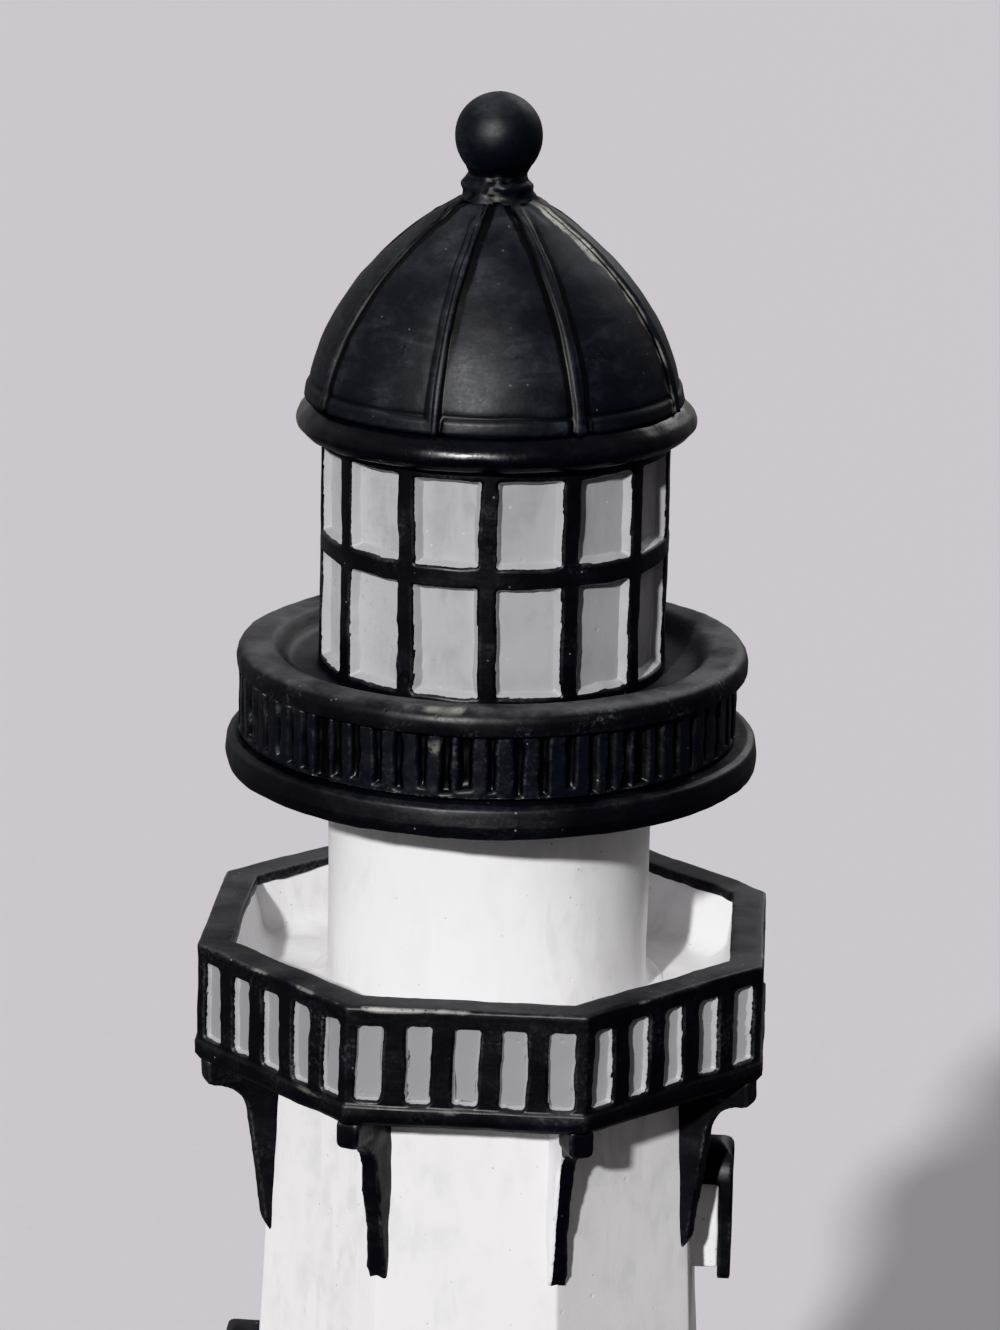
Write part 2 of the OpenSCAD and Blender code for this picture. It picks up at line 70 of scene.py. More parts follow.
NEARLY = 1e-9  # what counts as no difference

log = logging.getLogger("lighthouse")


class Seed(IntEnum):
    """Seeds of the random fields and draws, a number for each."""

    PLINTH = 11
    TOWER = 21
    OPENINGS = 31
    BRACKETS = 41
    PARAPET = 51
    TRAY = 57
    WATCH_ROOM = 61
    LEDGE = 71
    GROOVES = 73
    GROOVE_FEET = 74
    BALUSTRADE = 75
    DECK = 77
    LANTERN_FRAME = 81
    PANES = 83
    EAVE = 91
    DOME = 93
    FINIAL = 95


# Colours and shader nodes


def linear(code: str) -> tuple[float, float, float, float]:
    """Turns an sRGB hex colour into linear light.

    Args:
        code: colour such as "#1d1e22".

    Returns:
        Red, green, blue and a full alpha.
    """
    parts = [int(code[i : i + 2], 16) / 255 for i in (1, 3, 5)]
    light = [c / 12.92 if c <= 0.04045 else ((c + 0.055) / 1.055) ** 2.4 for c in parts]
    return (light[0], light[1], light[2], 1.0)


def per_metre(pitch_mm: float) -> float:
    """Scale of a pattern from the real size of its features.

    Args:
        pitch_mm: distance between features in millimetres.

    Returns:
        Features in a metre, which is what a texture's scale counts.
    """
    return 1 / (pitch_mm * MM)


def put(
    tree: bpy.types.NodeTree,
    kind: str,
    settings: dict[str | int, object] | None = None,
    links: dict[str | int, bpy.types.NodeSocket] | None = None,
) -> bpy.types.Node:
    """Adds one node with its settings and links.

    Args:
        tree: the tree that takes the node.
        kind: Blender's name of the node type.
        settings: properties and unlinked sockets, by name or number.
        links: the sockets that feed its inputs, by the input's name or number.

    Returns:
        The new node.
    """
    node = tree.nodes.new(kind)
    for key, value in (settings or {}).items():
        if isinstance(key, str) and hasattr(node, key):
            setattr(node, key, value)
        else:
            node.inputs[key].default_value = value
    for key, source in (links or {}).items():
        tree.links.new(source, node.inputs[key])
    return node


def empty_tree(owner: bpy.types.Material | bpy.types.World) -> bpy.types.NodeTree:
    """Switches a node tree on and clears it.

    Args:
        owner: the material or the world that has it.

    Returns:
        The empty tree.
    """
    owner.use_nodes = True
    owner.node_tree.nodes.clear()
    return owner.node_tree


# Meshes


class Grain:
    """Smooth random field in space, the unevenness that a mould and a brush leave."""

    CELLS = 24  # cells each way before the field repeats
    AWAY = 1000.0  # cells from the field's own corner to the figurine's origin

    def __init__(self, seed: Seed) -> None:
        """Draws the value at each corner of the field's cells."""
        self.table = np.random.default_rng(seed).uniform(-1, 1, (self.CELLS,) * 3)

    def at(self, points: np.ndarray, pitch: float) -> np.ndarray:
        """Field at points.

        Args:
            points: (..., 3) places in millimetres.
            pitch: distance between bumps in millimetres.

        Returns:
            (...) values from -1 to 1.
        """
        place = points.reshape(-1, 3) / pitch + self.AWAY
        cell = np.floor(place).astype(int)
        share = place - cell
        share = share * share * (3 - 2 * share)
        total = np.zeros(len(place))
        for corner in np.ndindex(2, 2, 2):
            at = (cell + corner) % self.CELLS
            weight = np.prod(np.where(np.array(corner), share, 1 - share), axis=1)
            total += weight * self.table[at[:, 0], at[:, 1], at[:, 2]]
        return total.reshape(points.shape[:-1])


def step_up(value: np.ndarray, low: float | np.ndarray, high: float | np.ndarray) -> np.ndarray:
    """Smooth step from 0 to 1.

    Args:
        value: what the step follows.
        low: value where it starts.
        high: value where it is full.

    Returns:
        Values from 0 to 1.
    """
    share = np.clip((value - low) / (high - low), 0, 1)
    return share * share * (3 - 2 * share)


def within(across: np.ndarray, up: np.ndarray, half_w: float, half_h: float, corner_r: float) -> np.ndarray:
    """Distance from the edge of an opening with rounded corners.

    Args:
        across: distance sideways from its middle.
        up: distance upwards from its middle.
        half_w: half its width.
        half_h: half its height.
        corner_r: radius of its corners.

    Returns:
        Distances, over 0 inside the opening.
    """
    x = np.abs(across) - (half_w - corner_r)
    z = np.abs(up) - (half_h - corner_r)
    beyond = np.hypot(np.maximum(x, 0), np.maximum(z, 0))
    return corner_r - beyond - np.minimum(np.maximum(x, z), 0)


def facing(degrees: np.ndarray) -> np.ndarray:
    """Directions in plan.

    Args:
        degrees: (n,) angles from the front towards the right.

    Returns:
        (n, 2) directions.
    """
    turn = np.radians(degrees)
    return np.stack([np.sin(turn), -np.cos(turn)], -1)


def upright(place: np.ndarray, up: np.ndarray) -> np.ndarray:
    """Grid of points from places in plan and heights.

    Args:
        place: (cols, 2) or (rows, cols, 2) places in plan.
        up: (rows,) heights.

    Returns:
        (rows, cols, 3) points.
    """
    shape = (len(up), place.shape[-2])
    heights = np.broadcast_to(up[:, None, None], (*shape, 1))
    return np.concatenate([np.broadcast_to(place, (*shape, 2)), heights], -1)


def quads(rows: int, cols: int) -> np.ndarray:
    """Faces of a grid that closes both ways.

    Args:
        rows: number of rows.
        cols: number of columns.

    Returns:
        (rows * cols, 4) point numbers.
    """
    row, col = np.meshgrid(np.arange(rows), np.arange(cols), indexing="ij")
    up, along = (row + 1) % rows, (col + 1) % cols
    corners = [row * cols + col, row * cols + along, up * cols + along, up * cols + col]
    return np.stack(corners, -1).reshape(-1, 4)


@dataclass
class Skin:
    """Points and faces of one piece in millimetres, and how each point is painted."""

    points: np.ndarray  # (n, 3) places
    faces: np.ndarray  # (m, 4) point numbers; a triangle repeats its last one
    # (n,) 0 where the piece keeps its first paint and 1 where it takes its second.
    cover: np.ndarray | None = None
    worn: np.ndarray | None = None  # (n,) 1 where the paint is rubbed through, and also where a paler coat is painted light
    # Millimetres between the stretches of a field that shift a point along x, y and z.
    APART = (0.0, 137.3, 291.7)

    @classmethod
    def closed(cls, grid: np.ndarray) -> "Skin":
        """Skin of a (rows, cols, 3) grid of points that closes both ways."""
        return cls(grid.reshape(-1, 3), quads(*grid.shape[:2])).outward()

    @classmethod
    def shell(cls, outer: np.ndarray, inner: np.ndarray) -> "Skin":
        """Ring between (rows, cols, 3) grids of outer and inner points, both from the bottom up."""
        return cls.closed(np.concatenate([outer, inner[::-1]]))

    def corners(self) -> list[np.ndarray]:
        """The four corners of every face."""
        return [self.points[self.faces[:, i]] for i in range(4)]

    def outward(self) -> "Skin":
        """Turns the faces so that they look out of the solid.

        Returns:
            This skin.
        """
        a, b, c, d = self.corners()
        volume = np.einsum("ij,ij->", a, np.cross(b, c)) + np.einsum("ij,ij->", a, np.cross(c, d))
        if volume < 0:
            self.faces = self.faces[:, ::-1]
        return self

    def normals(self) -> np.ndarray:
        """Works out where the surface faces.

        Returns:
            (n, 3) direction out of the surface at each point.
        """
        a, b, c, d = self.corners()
        face = np.cross(c - a, d - b)
        total = np.zeros_like(self.points)
        for i in range(4):
            for axis in range(3):
                total[:, axis] += np.bincount(self.faces[:, i], face[:, axis], len(self.points))
        return total / (np.linalg.norm(total, axis=1, keepdims=True) + 1e-12)

    def radii(self) -> np.ndarray:
        """Distance of each point from the axis."""
        return np.hypot(self.points[:, 0], self.points[:, 1])

    def angles(self) -> np.ndarray:
        """Angle of each point in degrees, from the front towards the right."""
        return np.degrees(np.arctan2(self.points[:, 0], -self.points[:, 1]))

    def flats(self) -> np.ndarray:
        """Distance of each point from the axis, square to the nearest side of the octagon."""
        return (self.points[:, :2] @ facing(TURN * np.arange(SIDES)).T).max(1)

    def sway(self, grain: Grain, pitch: float, amount: float) -> "Skin":
        """Shifts the points about, so that edges wander as hand-finished ones do.

        Args:
            grain: the field that they follow.
            pitch: distance between bends in millimetres.
            amount: furthest shift in millimetres.

        Returns:
            This skin.
        """
        drift = [grain.at(self.points + offset, pitch) for offset in self.APART]
        self.points = self.points + amount * np.stack(drift, -1)
        return self

    def swell(
        self, grain: Grain, *waves: tuple[float, float], share: np.ndarray | float = 1.0
    ) -> "Skin":
        """Moves the points in and out along the surface's normal, wave after wave.

        Args:
            grain: the field that they follow.
            waves: distance between bumps and furthest move of each wave, in millimetres.
            share: how much of the moves each point takes.

        Returns:
            This skin.
        """
        for pitch, amount in waves:
            self.press(amount * share * grain.at(self.points, pitch))
        return self

    def press(self, depth: np.ndarray) -> "Skin":
        """Moves each point along the surface's normal by its depth in millimetres, over 0 outwards."""
        self.points = self.points + depth[:, None] * self.normals()
        return self

    def edges(self) -> np.ndarray:
        """Finds the edges of the faces.

        Returns:
            (k, 2) point numbers of every edge, both ways.
        """
        pairs = np.concatenate([self.faces[:, [i, (i + 1) % 4]] for i in range(4)])
        pairs = pairs[pairs[:, 0] != pairs[:, 1]]
        return np.concatenate([pairs, pairs[:, ::-1]])

    def bend(self) -> np.ndarray:
        """How sharply the surface turns at each point, evened out with its neighbours.

        Returns:
            (n,) values per millimetre, over 0 on edges and under 0 in creases.
        """
        rounds, sharpest = 3, 4.0
        pairs = self.edges()
        normal = self.normals()
        step = self.points[pairs[:, 1]] - self.points[pairs[:, 0]]
        turn = -2 * np.einsum("ij,ij->i", step, normal[pairs[:, 0]])
        turn = turn / (np.einsum("ij,ij->i", step, step) + 1e-6)
        count = np.bincount(pairs[:, 0], minlength=len(self.points)) + NEARLY
        value = np.bincount(pairs[:, 0], turn, len(self.points)) / count
        value = np.clip(value, -sharpest, sharpest)
        for _ in range(rounds):
            mean = np.bincount(pairs[:, 0], value[pairs[:, 1]], len(self.points)) / count
            value = 0.5 * value + 0.5 * mean
        return value


def rounded(
    corners: Sequence[tuple[float, float, float]], step: float = 0.9, closed: bool = True
) -> np.ndarray:
    """Outline with each corner rounded and its long edges split.

    Args:
        corners: (across, up, radius) of each corner in order.
        step: longest stretch left unsplit.
        closed: whether the last corner meets the first.

    Returns:
        (n, 2) places along the outline.
    """
    # A round takes less than half of its shorter edge, and its points turn by so much at most.
    most_leg, widest_turn = 0.48, math.radians(24)
    places = np.array([c[:2] for c in corners], float)
    count = len(places)
    bent: list[np.ndarray] = []
    for i, (here, radius) in enumerate(zip(places, (c[2] for c in corners))):
        if radius <= 0 or (not closed and i in (0, count - 1)):
            bent.append(here)
            continue
        before, after = places[i - 1] - here, places[(i + 1) % count] - here
        legs = np.linalg.norm(before), np.linalg.norm(after)
        before, after = before / legs[0], after / legs[1]
        half = math.acos(max(-1.0, min(1.0, float(before @ after)))) / 2
        reach = min(radius / math.tan(half), most_leg * min(legs))
        radius = reach * math.tan(half)
        middle = here + (before + after) / np.linalg.norm(before + after) * radius / math.sin(half)
        start, end = here + before * reach - middle, here + after * reach - middle
        sweep = math.pi - 2 * half
        turns = max(2, math.ceil(sweep / widest_turn))
        side = math.copysign(1, start[0] * end[1] - start[1] * end[0])
        for k in range(turns + 1):
            angle = side * sweep * k / turns
            cos, sin = math.cos(angle), math.sin(angle)
            bent.append(middle + np.array([start[0] * cos - start[1] * sin, start[0] * sin + start[1] * cos]))
    split: list[np.ndarray] = []
    for i in range(len(bent) if closed else len(bent) - 1):
        here, there = bent[i], bent[(i + 1) % len(bent)]
        parts = max(1, math.ceil(np.linalg.norm(there - here) / step))
        split += [here + (there - here) * k / parts for k in range(parts)]
    if not closed:
        split.append(bent[-1])
    return np.array(split)


def samples_near(
    edges: Sequence[float], low: float, high: float, fine: float, reach: float, coarse: float
) -> np.ndarray:
    """Places from low to high, close together near the given edges.

    Args:
        edges: places that need close samples.
        low: first place.
        high: last place.
        fine: spacing near an edge.
        reach: how far each side of an edge stays fine.
        coarse: widest spacing elsewhere.

    Returns:
        Sorted places.
    """
    steps, closest = round(reach / fine), 0.4 * fine
    close = [e + k * fine for e in edges for k in range(-steps, steps + 1)]
    places = sorted({round(p, 4) for p in [low, high, *close] if low <= p <= high})
    kept = [places[0]]
    for place in places[1:]:
        gap = place - kept[-1]
        if gap < closest and place != high:
            continue
        parts = max(1, math.ceil(gap / coarse))
        kept += [kept[-1] + gap * k / parts for k in range(1, parts + 1)]
    return np.array(kept)


def lathe(outline: np.ndarray, around: int = 260) -> Skin:
    """Turned piece.

    Args:
        outline: (n, 2) closed outline of radius and height.
        around: columns of its mesh.

    Returns:
        The closed piece.
    """
    ring = facing(np.arange(around) * 360 / around)
    return Skin.closed(upright(outline[:, :1, None] * ring, outline[:, 1]))


def outside(values: np.ndarray) -> np.ndarray:
    """Values for all points of a shell.

    Args:
        values: those of its outer points.

    Returns:
        The same values, and then 0 for each of its inner points.
    """
    return np.concatenate([values, np.zeros_like(values)]).reshape(-1)


@dataclass
class OctagonPath:
    """Columns of a mesh that runs round an octagon with rounded corners."""

    shares: np.ndarray  # places along one side, from -1 at one corner to 1 at the next
    corner_r: float  # radius of the rounded corners
    corner_steps: int = 4  # faces that turn each corner
    core: np.ndarray = field(init=False)  # each column's place on an octagon whose flat is 1
    out: np.ndarray = field(init=False)  # each column's direction outwards
    share: np.ndarray = field(init=False)  # each column's place along its side

    def __post_init__(self) -> None:
        """Works out each column's directions once."""
        core, out, share = [], [], []
        for k in range(SIDES):
            face, along = facing(np.array([TURN * k, TURN * k + 90]))
            core += [face + s * HALF_TAN * along for s in self.shares]
            out += [face] * len(self.shares)
            share += [*self.shares]
            turned = TURN * (k + np.arange(1, self.corner_steps) / self.corner_steps)
            core += [core[-1]] * len(turned)
            out += [*facing(turned)]
            share += [1.0] * len(turned)
        self.core, self.out, self.share = np.array(core), np.array(out), np.array(share)

    def ring(self, flat: np.ndarray, up: np.ndarray) -> np.ndarray:
        """Grid of points round the octagon.

        Args:
            flat: (rows,) or (rows, cols) distance from the axis to the octagon's flat.
            up: (rows,) heights.

        Returns:
            (rows, cols, 3) points.
        """
        flat = flat[:, None] if flat.ndim == 1 else flat
        place = (flat - self.corner_r)[..., None] * self.core + self.corner_r * self.out
        return upright(place, up)

    def sweep(self, outline: np.ndarray) -> Skin:
        """Closed ring from an (n, 2) closed outline of flat distance and height."""
        return Skin.closed(self.ring(outline[:, 0], outline[:, 1]))


def pierced(
    outer: np.ndarray,
    inner: np.ndarray,
    through: np.ndarray,
    cover: np.ndarray,
    rest: np.ndarray | None = None,
) -> Skin:
    """Ring-shaped shell with openings.

    Args:
        outer: (rows, cols, 3) outer skin from bottom to top.
        inner: (rows, cols, 3) inner skin, row for row.
        through: (rows, cols) true where the outer skin has sunk to the inner one.
        cover: (rows, cols) second paint on the outer skin.
        rest: (more rows, cols, 3) from the top of the outer skin over to the inner one.

    Returns:
        The closed shell.
    """
    rows, cols = through.shape
    bridge = np.empty((0, cols, 3)) if rest is None else rest
    points = np.concatenate([outer, bridge, inner[::-1]])
    total = len(points)
    number = np.arange(total * cols).reshape(total, cols)
    number[total - rows :][::-1][through] = number[:rows][through]
    cell = through & np.roll(through, -1, 1)
    cell = cell[:-1] & cell[1:]
    gap = np.zeros((total, cols), bool)
    gap[: rows - 1] = cell
    gap[total - rows : total - 1] = cell[::-1]
    faces = number.reshape(-1)[quads(total, cols)[~gap.reshape(-1)]]
    used, faces = np.unique(faces, return_inverse=True)
    painted = np.zeros((total, cols))
    painted[:rows] = cover
    return Skin(points.reshape(-1, 3)[used], faces.reshape(-1, 4), painted.reshape(-1)[used]).outward()


def cast_copy(node: str, voxel: float, rounds: int) -> Skin:
    """Softened copy of a CAD node's shape, as a casting comes out of its mould.

    Args:
        node: the CAD node to copy.
        voxel: size of the cells that round its edges, in millimetres.
        rounds: how many times the copy is smoothed.

    Returns:
        A closed skin.
    """
    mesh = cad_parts[node].data.copy()
    copy = bpy.data.objects.new(f"{node}_draft", mesh)
    bpy.context.scene.collection.objects.link(copy)
    weld = copy.modifiers.new("weld", "WELD")
    weld.merge_threshold = 0.002 * MM
    remesh = copy.modifiers.new("remesh", "REMESH")
    remesh.mode = "VOXEL"
    remesh.voxel_size = voxel * MM
    remesh.adaptivity = 0.0
    smooth = copy.modifiers.new("smooth", "SMOOTH")
    smooth.factor = 0.5
    smooth.iterations = rounds
    bpy.context.view_layer.update()
    made = copy.evaluated_get(bpy.context.evaluated_depsgraph_get()).to_mesh()
    points = np.empty(len(made.vertices) * 3)
    made.vertices.foreach_get("co", points)
    corners = [list(p.vertices) for p in made.polygons]
    faces = np.array([c if len(c) == 4 else [*c, c[-1]] for c in corners])
    bpy.data.objects.remove(copy)
    bpy.data.meshes.remove(mesh)
    return Skin(points.reshape(-1, 3) / MM, faces).outward()


# Paints and metals


class Signal(Enum):
    """What each coat follows over the surface: paint, wear, dirt, painted shade and painted light."""

    STROKES = "strokes"
    PATCHES = "patches"
    SPECKS = "specks"
    MOTES = "motes"
    RISE = "rise"
    BEND = "bend"
    COVER = "cover"
    WEAR_AND_LIGHT = "worn"


class Slot(Enum):
    """Material slots of the record."""

    BLACK = "black_paint"
    WHITE = "white_paint"
    GREY = "grey_paint"
    STEEL = "zinc_steel"
    RUBBER = "pad_rubber"


Sockets = dict[Signal, bpy.types.NodeSocket]
Spans = tuple[tuple[Signal, float, float], ...]


@dataclass(frozen=True)
class Coat:
    """One layer of colour over the layers before it."""

    colour: str  # its sRGB hex colour
    rough: float  # its roughness
    # The signals that let it show, each with its value where the layer starts and where it is full.
    where: Spans
    most: float = 1.0  # its share where it is full


@dataclass(frozen=True)
class BrushedEnamel:
    """Waterbased enamel brushed by hand over cast polyester resin.

    The eye sees faint strokes, a few pits from bubbles in the mould, and a satin gloss that
    comes and goes with the thickness of the coat. Edges are rubbed, creases hold more paint and
    are darkened with painted shade, and dust lies on what faces up.
    """

    name: str  # the material's name
    slot: Slot  # the record's slot for it
    colour: str  # where the coat is full
    thin: str  # where the coat is thin
    edge: str  # what shows where an edge is rubbed
    pool_and_shade: str  # where paint has gathered in a crease, with painted shade there
    dust: str  # what settles on ledges and sticks to the coat
    mote: str  # specks of lint and grit
    bare: str  # the casting where the paint is rubbed through, and a paler coat painted as light where the mesh asks for it
    rough: tuple[float, float]  # lowest and highest roughness of the coat
    stroke_mm: tuple[float, float, float]  # size of a brush mark along x, y and z
    rubbed: float  # most that a rubbed edge shows
    # Value of the flecks where a rubbed edge starts to show and where it is full.
    nicked: tuple[float, float] = (0.3, 0.55)
    dusty: float = 0.25  # most that settled dust hides
    stray: float = 0.3  # most that dust stuck elsewhere hides
    flecked: float = 0.7  # most that a mote hides
    over: tuple[Coat, ...] = ()  # coats laid over all of these
    patch_mm: float = 9.0  # size of the patches in which the coat, the wear and the dust vary
    speck_mm: float = 0.7  # size of its finest flecks, drawn about twice as coarse as real ones to show
    mote_mm: float = 3.2  # distance between motes
    pit_mm: float = 5.0  # distance between pits
    pit_depth_mm: float = 0.05  # their depth
    stroke_depth_mm: float = 0.03  # depth of the brush marks
    grain_depth_mm: float = 0.02  # depth of the flecks
    ior: float = 1.5  # index of refraction of a film of acrylic paint

    def coats(self) -> tuple[Coat, ...]:
        """Lists the layers over the full coat.

        Returns:
            The layers from the first to the last.
        """
        brushed = ((Signal.STROKES, 0.42, 0.6), (Signal.PATCHES, 0.4, 0.6))
        rubbed = ((Signal.BEND, 0.25, 1.3), (Signal.PATCHES, 0.38, 0.58), (Signal.SPECKS, *self.nicked))
        settled = ((Signal.RISE, 0.55, 1.0), (Signal.PATCHES, 0.3, 0.6))
        stuck = ((Signal.PATCHES, 0.5, 0.7), (Signal.SPECKS, 0.5, 0.68))
        linty = ((Signal.MOTES, 0.075, 0.04), (Signal.PATCHES, 0.44, 0.52))
        return (
            Coat(self.thin, self.rough[1], brushed, 0.9),
            Coat(self.edge, 0.5, rubbed, self.rubbed),
            Coat(self.dust, 0.85, settled, self.dusty),
            Coat(self.dust, 0.85, stuck, self.stray),
            Coat(self.mote, 0.8, linty, self.flecked),
            # Painted shade: creases are darker, where the paint has also gathered.
            Coat(self.pool_and_shade, 0.35, ((Signal.BEND, -0.15, -1.0),), 0.9),
            # Rubbed through where the mesh says wear, with a paler coat as painted light and painted
            # highlight where it says light.
            Coat(self.bare, 0.6, ((Signal.WEAR_AND_LIGHT, 0.25, 0.85), (Signal.SPECKS, 0.3, 0.45))),
            *self.over,
        )

    def signals(self, tree: bpy.types.NodeTree) -> Sockets:
        """Adds the patterns and the mesh values that the coats follow.

        Args:
            tree: the material's tree.

        Returns:
            One socket for each signal.
        """
        place = put(tree, "ShaderNodeTexCoord").outputs["Object"]
        scale = tuple(per_metre(mm) for mm in self.stroke_mm)
        stretched = put(tree, "ShaderNodeMapping", {"Scale": scale}, {"Vector": place}).outputs[0]
        found = {}
        for signal, at, settings in (
            (Signal.STROKES, stretched, {"Scale": 1.0, "Detail": 3.0, "Roughness": 0.55, "Distortion": 0.8}),
            (Signal.PATCHES, place, {"Scale": per_metre(self.patch_mm), "Detail": 4.0, "Roughness": 0.6}),
            (Signal.SPECKS, place, {"Scale": per_metre(self.speck_mm), "Detail": 3.0, "Roughness": 0.6}),
        ):
            found[signal] = put(tree, "ShaderNodeTexNoise", settings, {"Vector": at}).outputs["Fac"]
        cells = put(tree, "ShaderNodeTexVoronoi", {"Scale": per_metre(self.mote_mm)}, {"Vector": place})
        found[Signal.MOTES] = cells.outputs["Distance"]
        normal = put(tree, "ShaderNodeNewGeometry").outputs["Normal"]
        found[Signal.RISE] = put(tree, "ShaderNodeSeparateXYZ", None, {"Vector": normal}).outputs["Z"]
        for signal in (Signal.BEND, Signal.COVER, Signal.WEAR_AND_LIGHT):
            found[signal] = put(tree, "ShaderNodeAttribute", {"attribute_name": signal.value}).outputs["Fac"]
        # Flecks roughen the edge of a coat whose place comes from the mesh.
        wander = {0: found[Signal.SPECKS], 2: found[Signal.COVER]}
        ragged = put(tree, "ShaderNodeMath", {"operation": "MULTIPLY_ADD", 1: 0.6}, wander)
        found[Signal.COVER] = ragged.outputs[0]
        return found

    def relief(self, tree: bpy.types.NodeTree, signals: Sockets) -> bpy.types.NodeSocket:
        """Adds the bump of pits where bubbles broke, of fine grain and of brush marks.

        Args:
            tree: the material's tree.
            signals: the patterns that it follows.

        Returns:
            The surface's direction.
        """
        place = put(tree, "ShaderNodeTexCoord").outputs["Object"]
        cells = put(tree, "ShaderNodeTexVoronoi", {"Scale": per_metre(self.pit_mm)}, {"Vector": place})
        settings = {"From Min": 0.03, "From Max": 0.09}
        pits = put(tree, "ShaderNodeMapRange", settings, {"Value": cells.outputs["Distance"]})
        normal = None
        for depth_mm, height in (
            (self.pit_depth_mm, pits.outputs["Result"]),
            (self.grain_depth_mm, signals[Signal.SPECKS]),
            (self.stroke_depth_mm, signals[Signal.STROKES]),
        ):
            links = {"Height": height} if normal is None else {"Height": height, "Normal": normal}
            normal = put(tree, "ShaderNodeBump", {"Distance": depth_mm * MM}, links).outputs[0]
        return normal

    def share(self, tree: bpy.types.NodeTree, coat: Coat, signals: Sockets) -> bpy.types.NodeSocket:
        """Multiplies a coat's signals into how much of it shows.

        Args:
            tree: the material's tree.
            coat: the layer.
            signals: the patterns that it follows.

        Returns:
            The socket with that share.
        """
        share = None
        for signal, start, full in coat.where:
            span = {"From Min": start, "From Max": full}
            level = put(tree, "ShaderNodeMapRange", span, {"Value": signals[signal]}).outputs["Result"]
            links = {0: level} if share is None else {0: level, 1: share}
            share = put(tree, "ShaderNodeMath", {"operation": "MULTIPLY", 1: coat.most}, links).outputs[0]
        return share

    @cache
    def material(self) -> bpy.types.Material:
        """Builds the material, with every coat over the last, when it is first asked for.

        Returns:
            The material.
        """
        material = bpy.data.materials.new(self.name)
        tree = empty_tree(material)
        signals = self.signals(tree)
        uneven = {0: signals[Signal.PATCHES], 1: signals[Signal.SPECKS]}
        uneven = put(tree, "ShaderNodeMath", {"operation": "ADD"}, uneven).outputs[0]
        span = {"From Min": 0.75, "From Max": 1.25, "To Min": self.rough[0], "To Max": self.rough[1]}
        rough = put(tree, "ShaderNodeMapRange", span, {"Value": uneven}).outputs["Result"]
        colour = None
        for coat in self.coats():
            share = self.share(tree, coat, signals)
            settings = {"data_type": "RGBA", 6: linear(self.colour), 7: linear(coat.colour)}
            links = {0: share} if colour is None else {0: share, 6: colour}
            colour = put(tree, "ShaderNodeMix", settings, links).outputs[2]
            settings, links = {"data_type": "FLOAT", 3: coat.rough}, {0: share, 2: rough}
            rough = put(tree, "ShaderNodeMix", settings, links).outputs[0]
        links = {"Base Color": colour, "Roughness": rough, "Normal": self.relief(tree, signals)}
        shader = put(tree, "ShaderNodeBsdfPrincipled", {"IOR": self.ior}, links)
        put(tree, "ShaderNodeOutputMaterial", None, {"Surface": shader.outputs[0]})
        return material


@dataclass(frozen=True)
class CutStock:
    """Metal or rubber used as it was rolled and cut, with one even grain."""

    name: str  # the material's name
    slot: Slot  # the record's slot for it
    colour: str  # between the grains
    grain: str  # on a grain
    grain_mm: tuple[float, float, float]  # size of a grain along x, y and z
    detail: float  # how far the grain is broken up
    rough: tuple[float, float]  # lowest and highest roughness
    relief_mm: float  # height of the grain
    body: tuple[tuple[str, float], ...]  # the shader's settings

    @cache
    def material(self) -> bpy.types.Material:
        """Builds the material, whose colour, gloss and relief follow the grain, when first asked for.

        Returns:
            The material.
        """
        material = bpy.data.materials.new(self.name)
        tree = empty_tree(material)
        place = put(tree, "ShaderNodeTexCoord").outputs["Object"]
        scale = tuple(per_metre(mm) for mm in self.grain_mm)
        stretched = put(tree, "ShaderNodeMapping", {"Scale": scale}, {"Vector": place}).outputs[0]
        settings = {"Scale": 1.0, "Detail": self.detail}
        grain = put(tree, "ShaderNodeTexNoise", settings, {"Vector": stretched}).outputs["Fac"]
        settings = {"data_type": "RGBA", 6: linear(self.colour), 7: linear(self.grain)}
        colour = put(tree, "ShaderNodeMix", settings, {0: grain}).outputs[2]
        span = {"To Min": self.rough[0], "To Max": self.rough[1]}
        rough = put(tree, "ShaderNodeMapRange", span, {"Value": grain}).outputs["Result"]
        bump = put(tree, "ShaderNodeBump", {"Distance": self.relief_mm * MM}, {"Height": grain}).outputs[0]
        links = {"Base Color": colour, "Roughness": rough, "Normal": bump}
        shader = put(tree, "ShaderNodeBsdfPrincipled", dict(self.body), links)
        put(tree, "ShaderNodeOutputMaterial", None, {"Surface": shader.outputs[0]})
        return material


Finish = BrushedEnamel | CutStock

# Where a coat that lies over a finish shows: painted parts, grooves with painted shade, brushed lines and a
# dish with painted shade, creases with painted shade, and a side with painted light.
COVERED: Spans = ((Signal.COVER, 0.72, 0.88),)
GROOVE_SHADE: Spans = ((Signal.COVER, 0.6, 0.95),)
LINED_AND_SHADED: Spans = ((Signal.COVER, 0.5, 0.8),)
CREASE_SHADE: Spans = ((Signal.BEND, -0.06, -0.5),)
LIT_SIDE: Spans = ((Signal.WEAR_AND_LIGHT, 0.3, 0.7),)

# A satin black: nearly no light from the coat itself, so its shape shows by its gloss.
BLACK = BrushedEnamel(
    name="black_brushed_enamel",
    slot=Slot.BLACK,
    colour="#141417",
    thin="#1f1f23",
    edge="#707072",
    pool_and_shade="#040406",
    dust="#58595d",
    mote="#8a8a8c",
    bare="#b0aea6",
    rough=(0.4, 0.52),
    stroke_mm=(7.0, 7.0, 2.2),
    rubbed=0.45,
)
# The eave's thick coat has dried glossier and caught a narrow highlight.
BLACK_THICK = replace(
    BLACK,
    name="black_enamel_thick",
    rough=(0.24, 0.34),
    rubbed=0.2,
    dusty=0.0,
    stray=0.12,
    flecked=0.4,
)
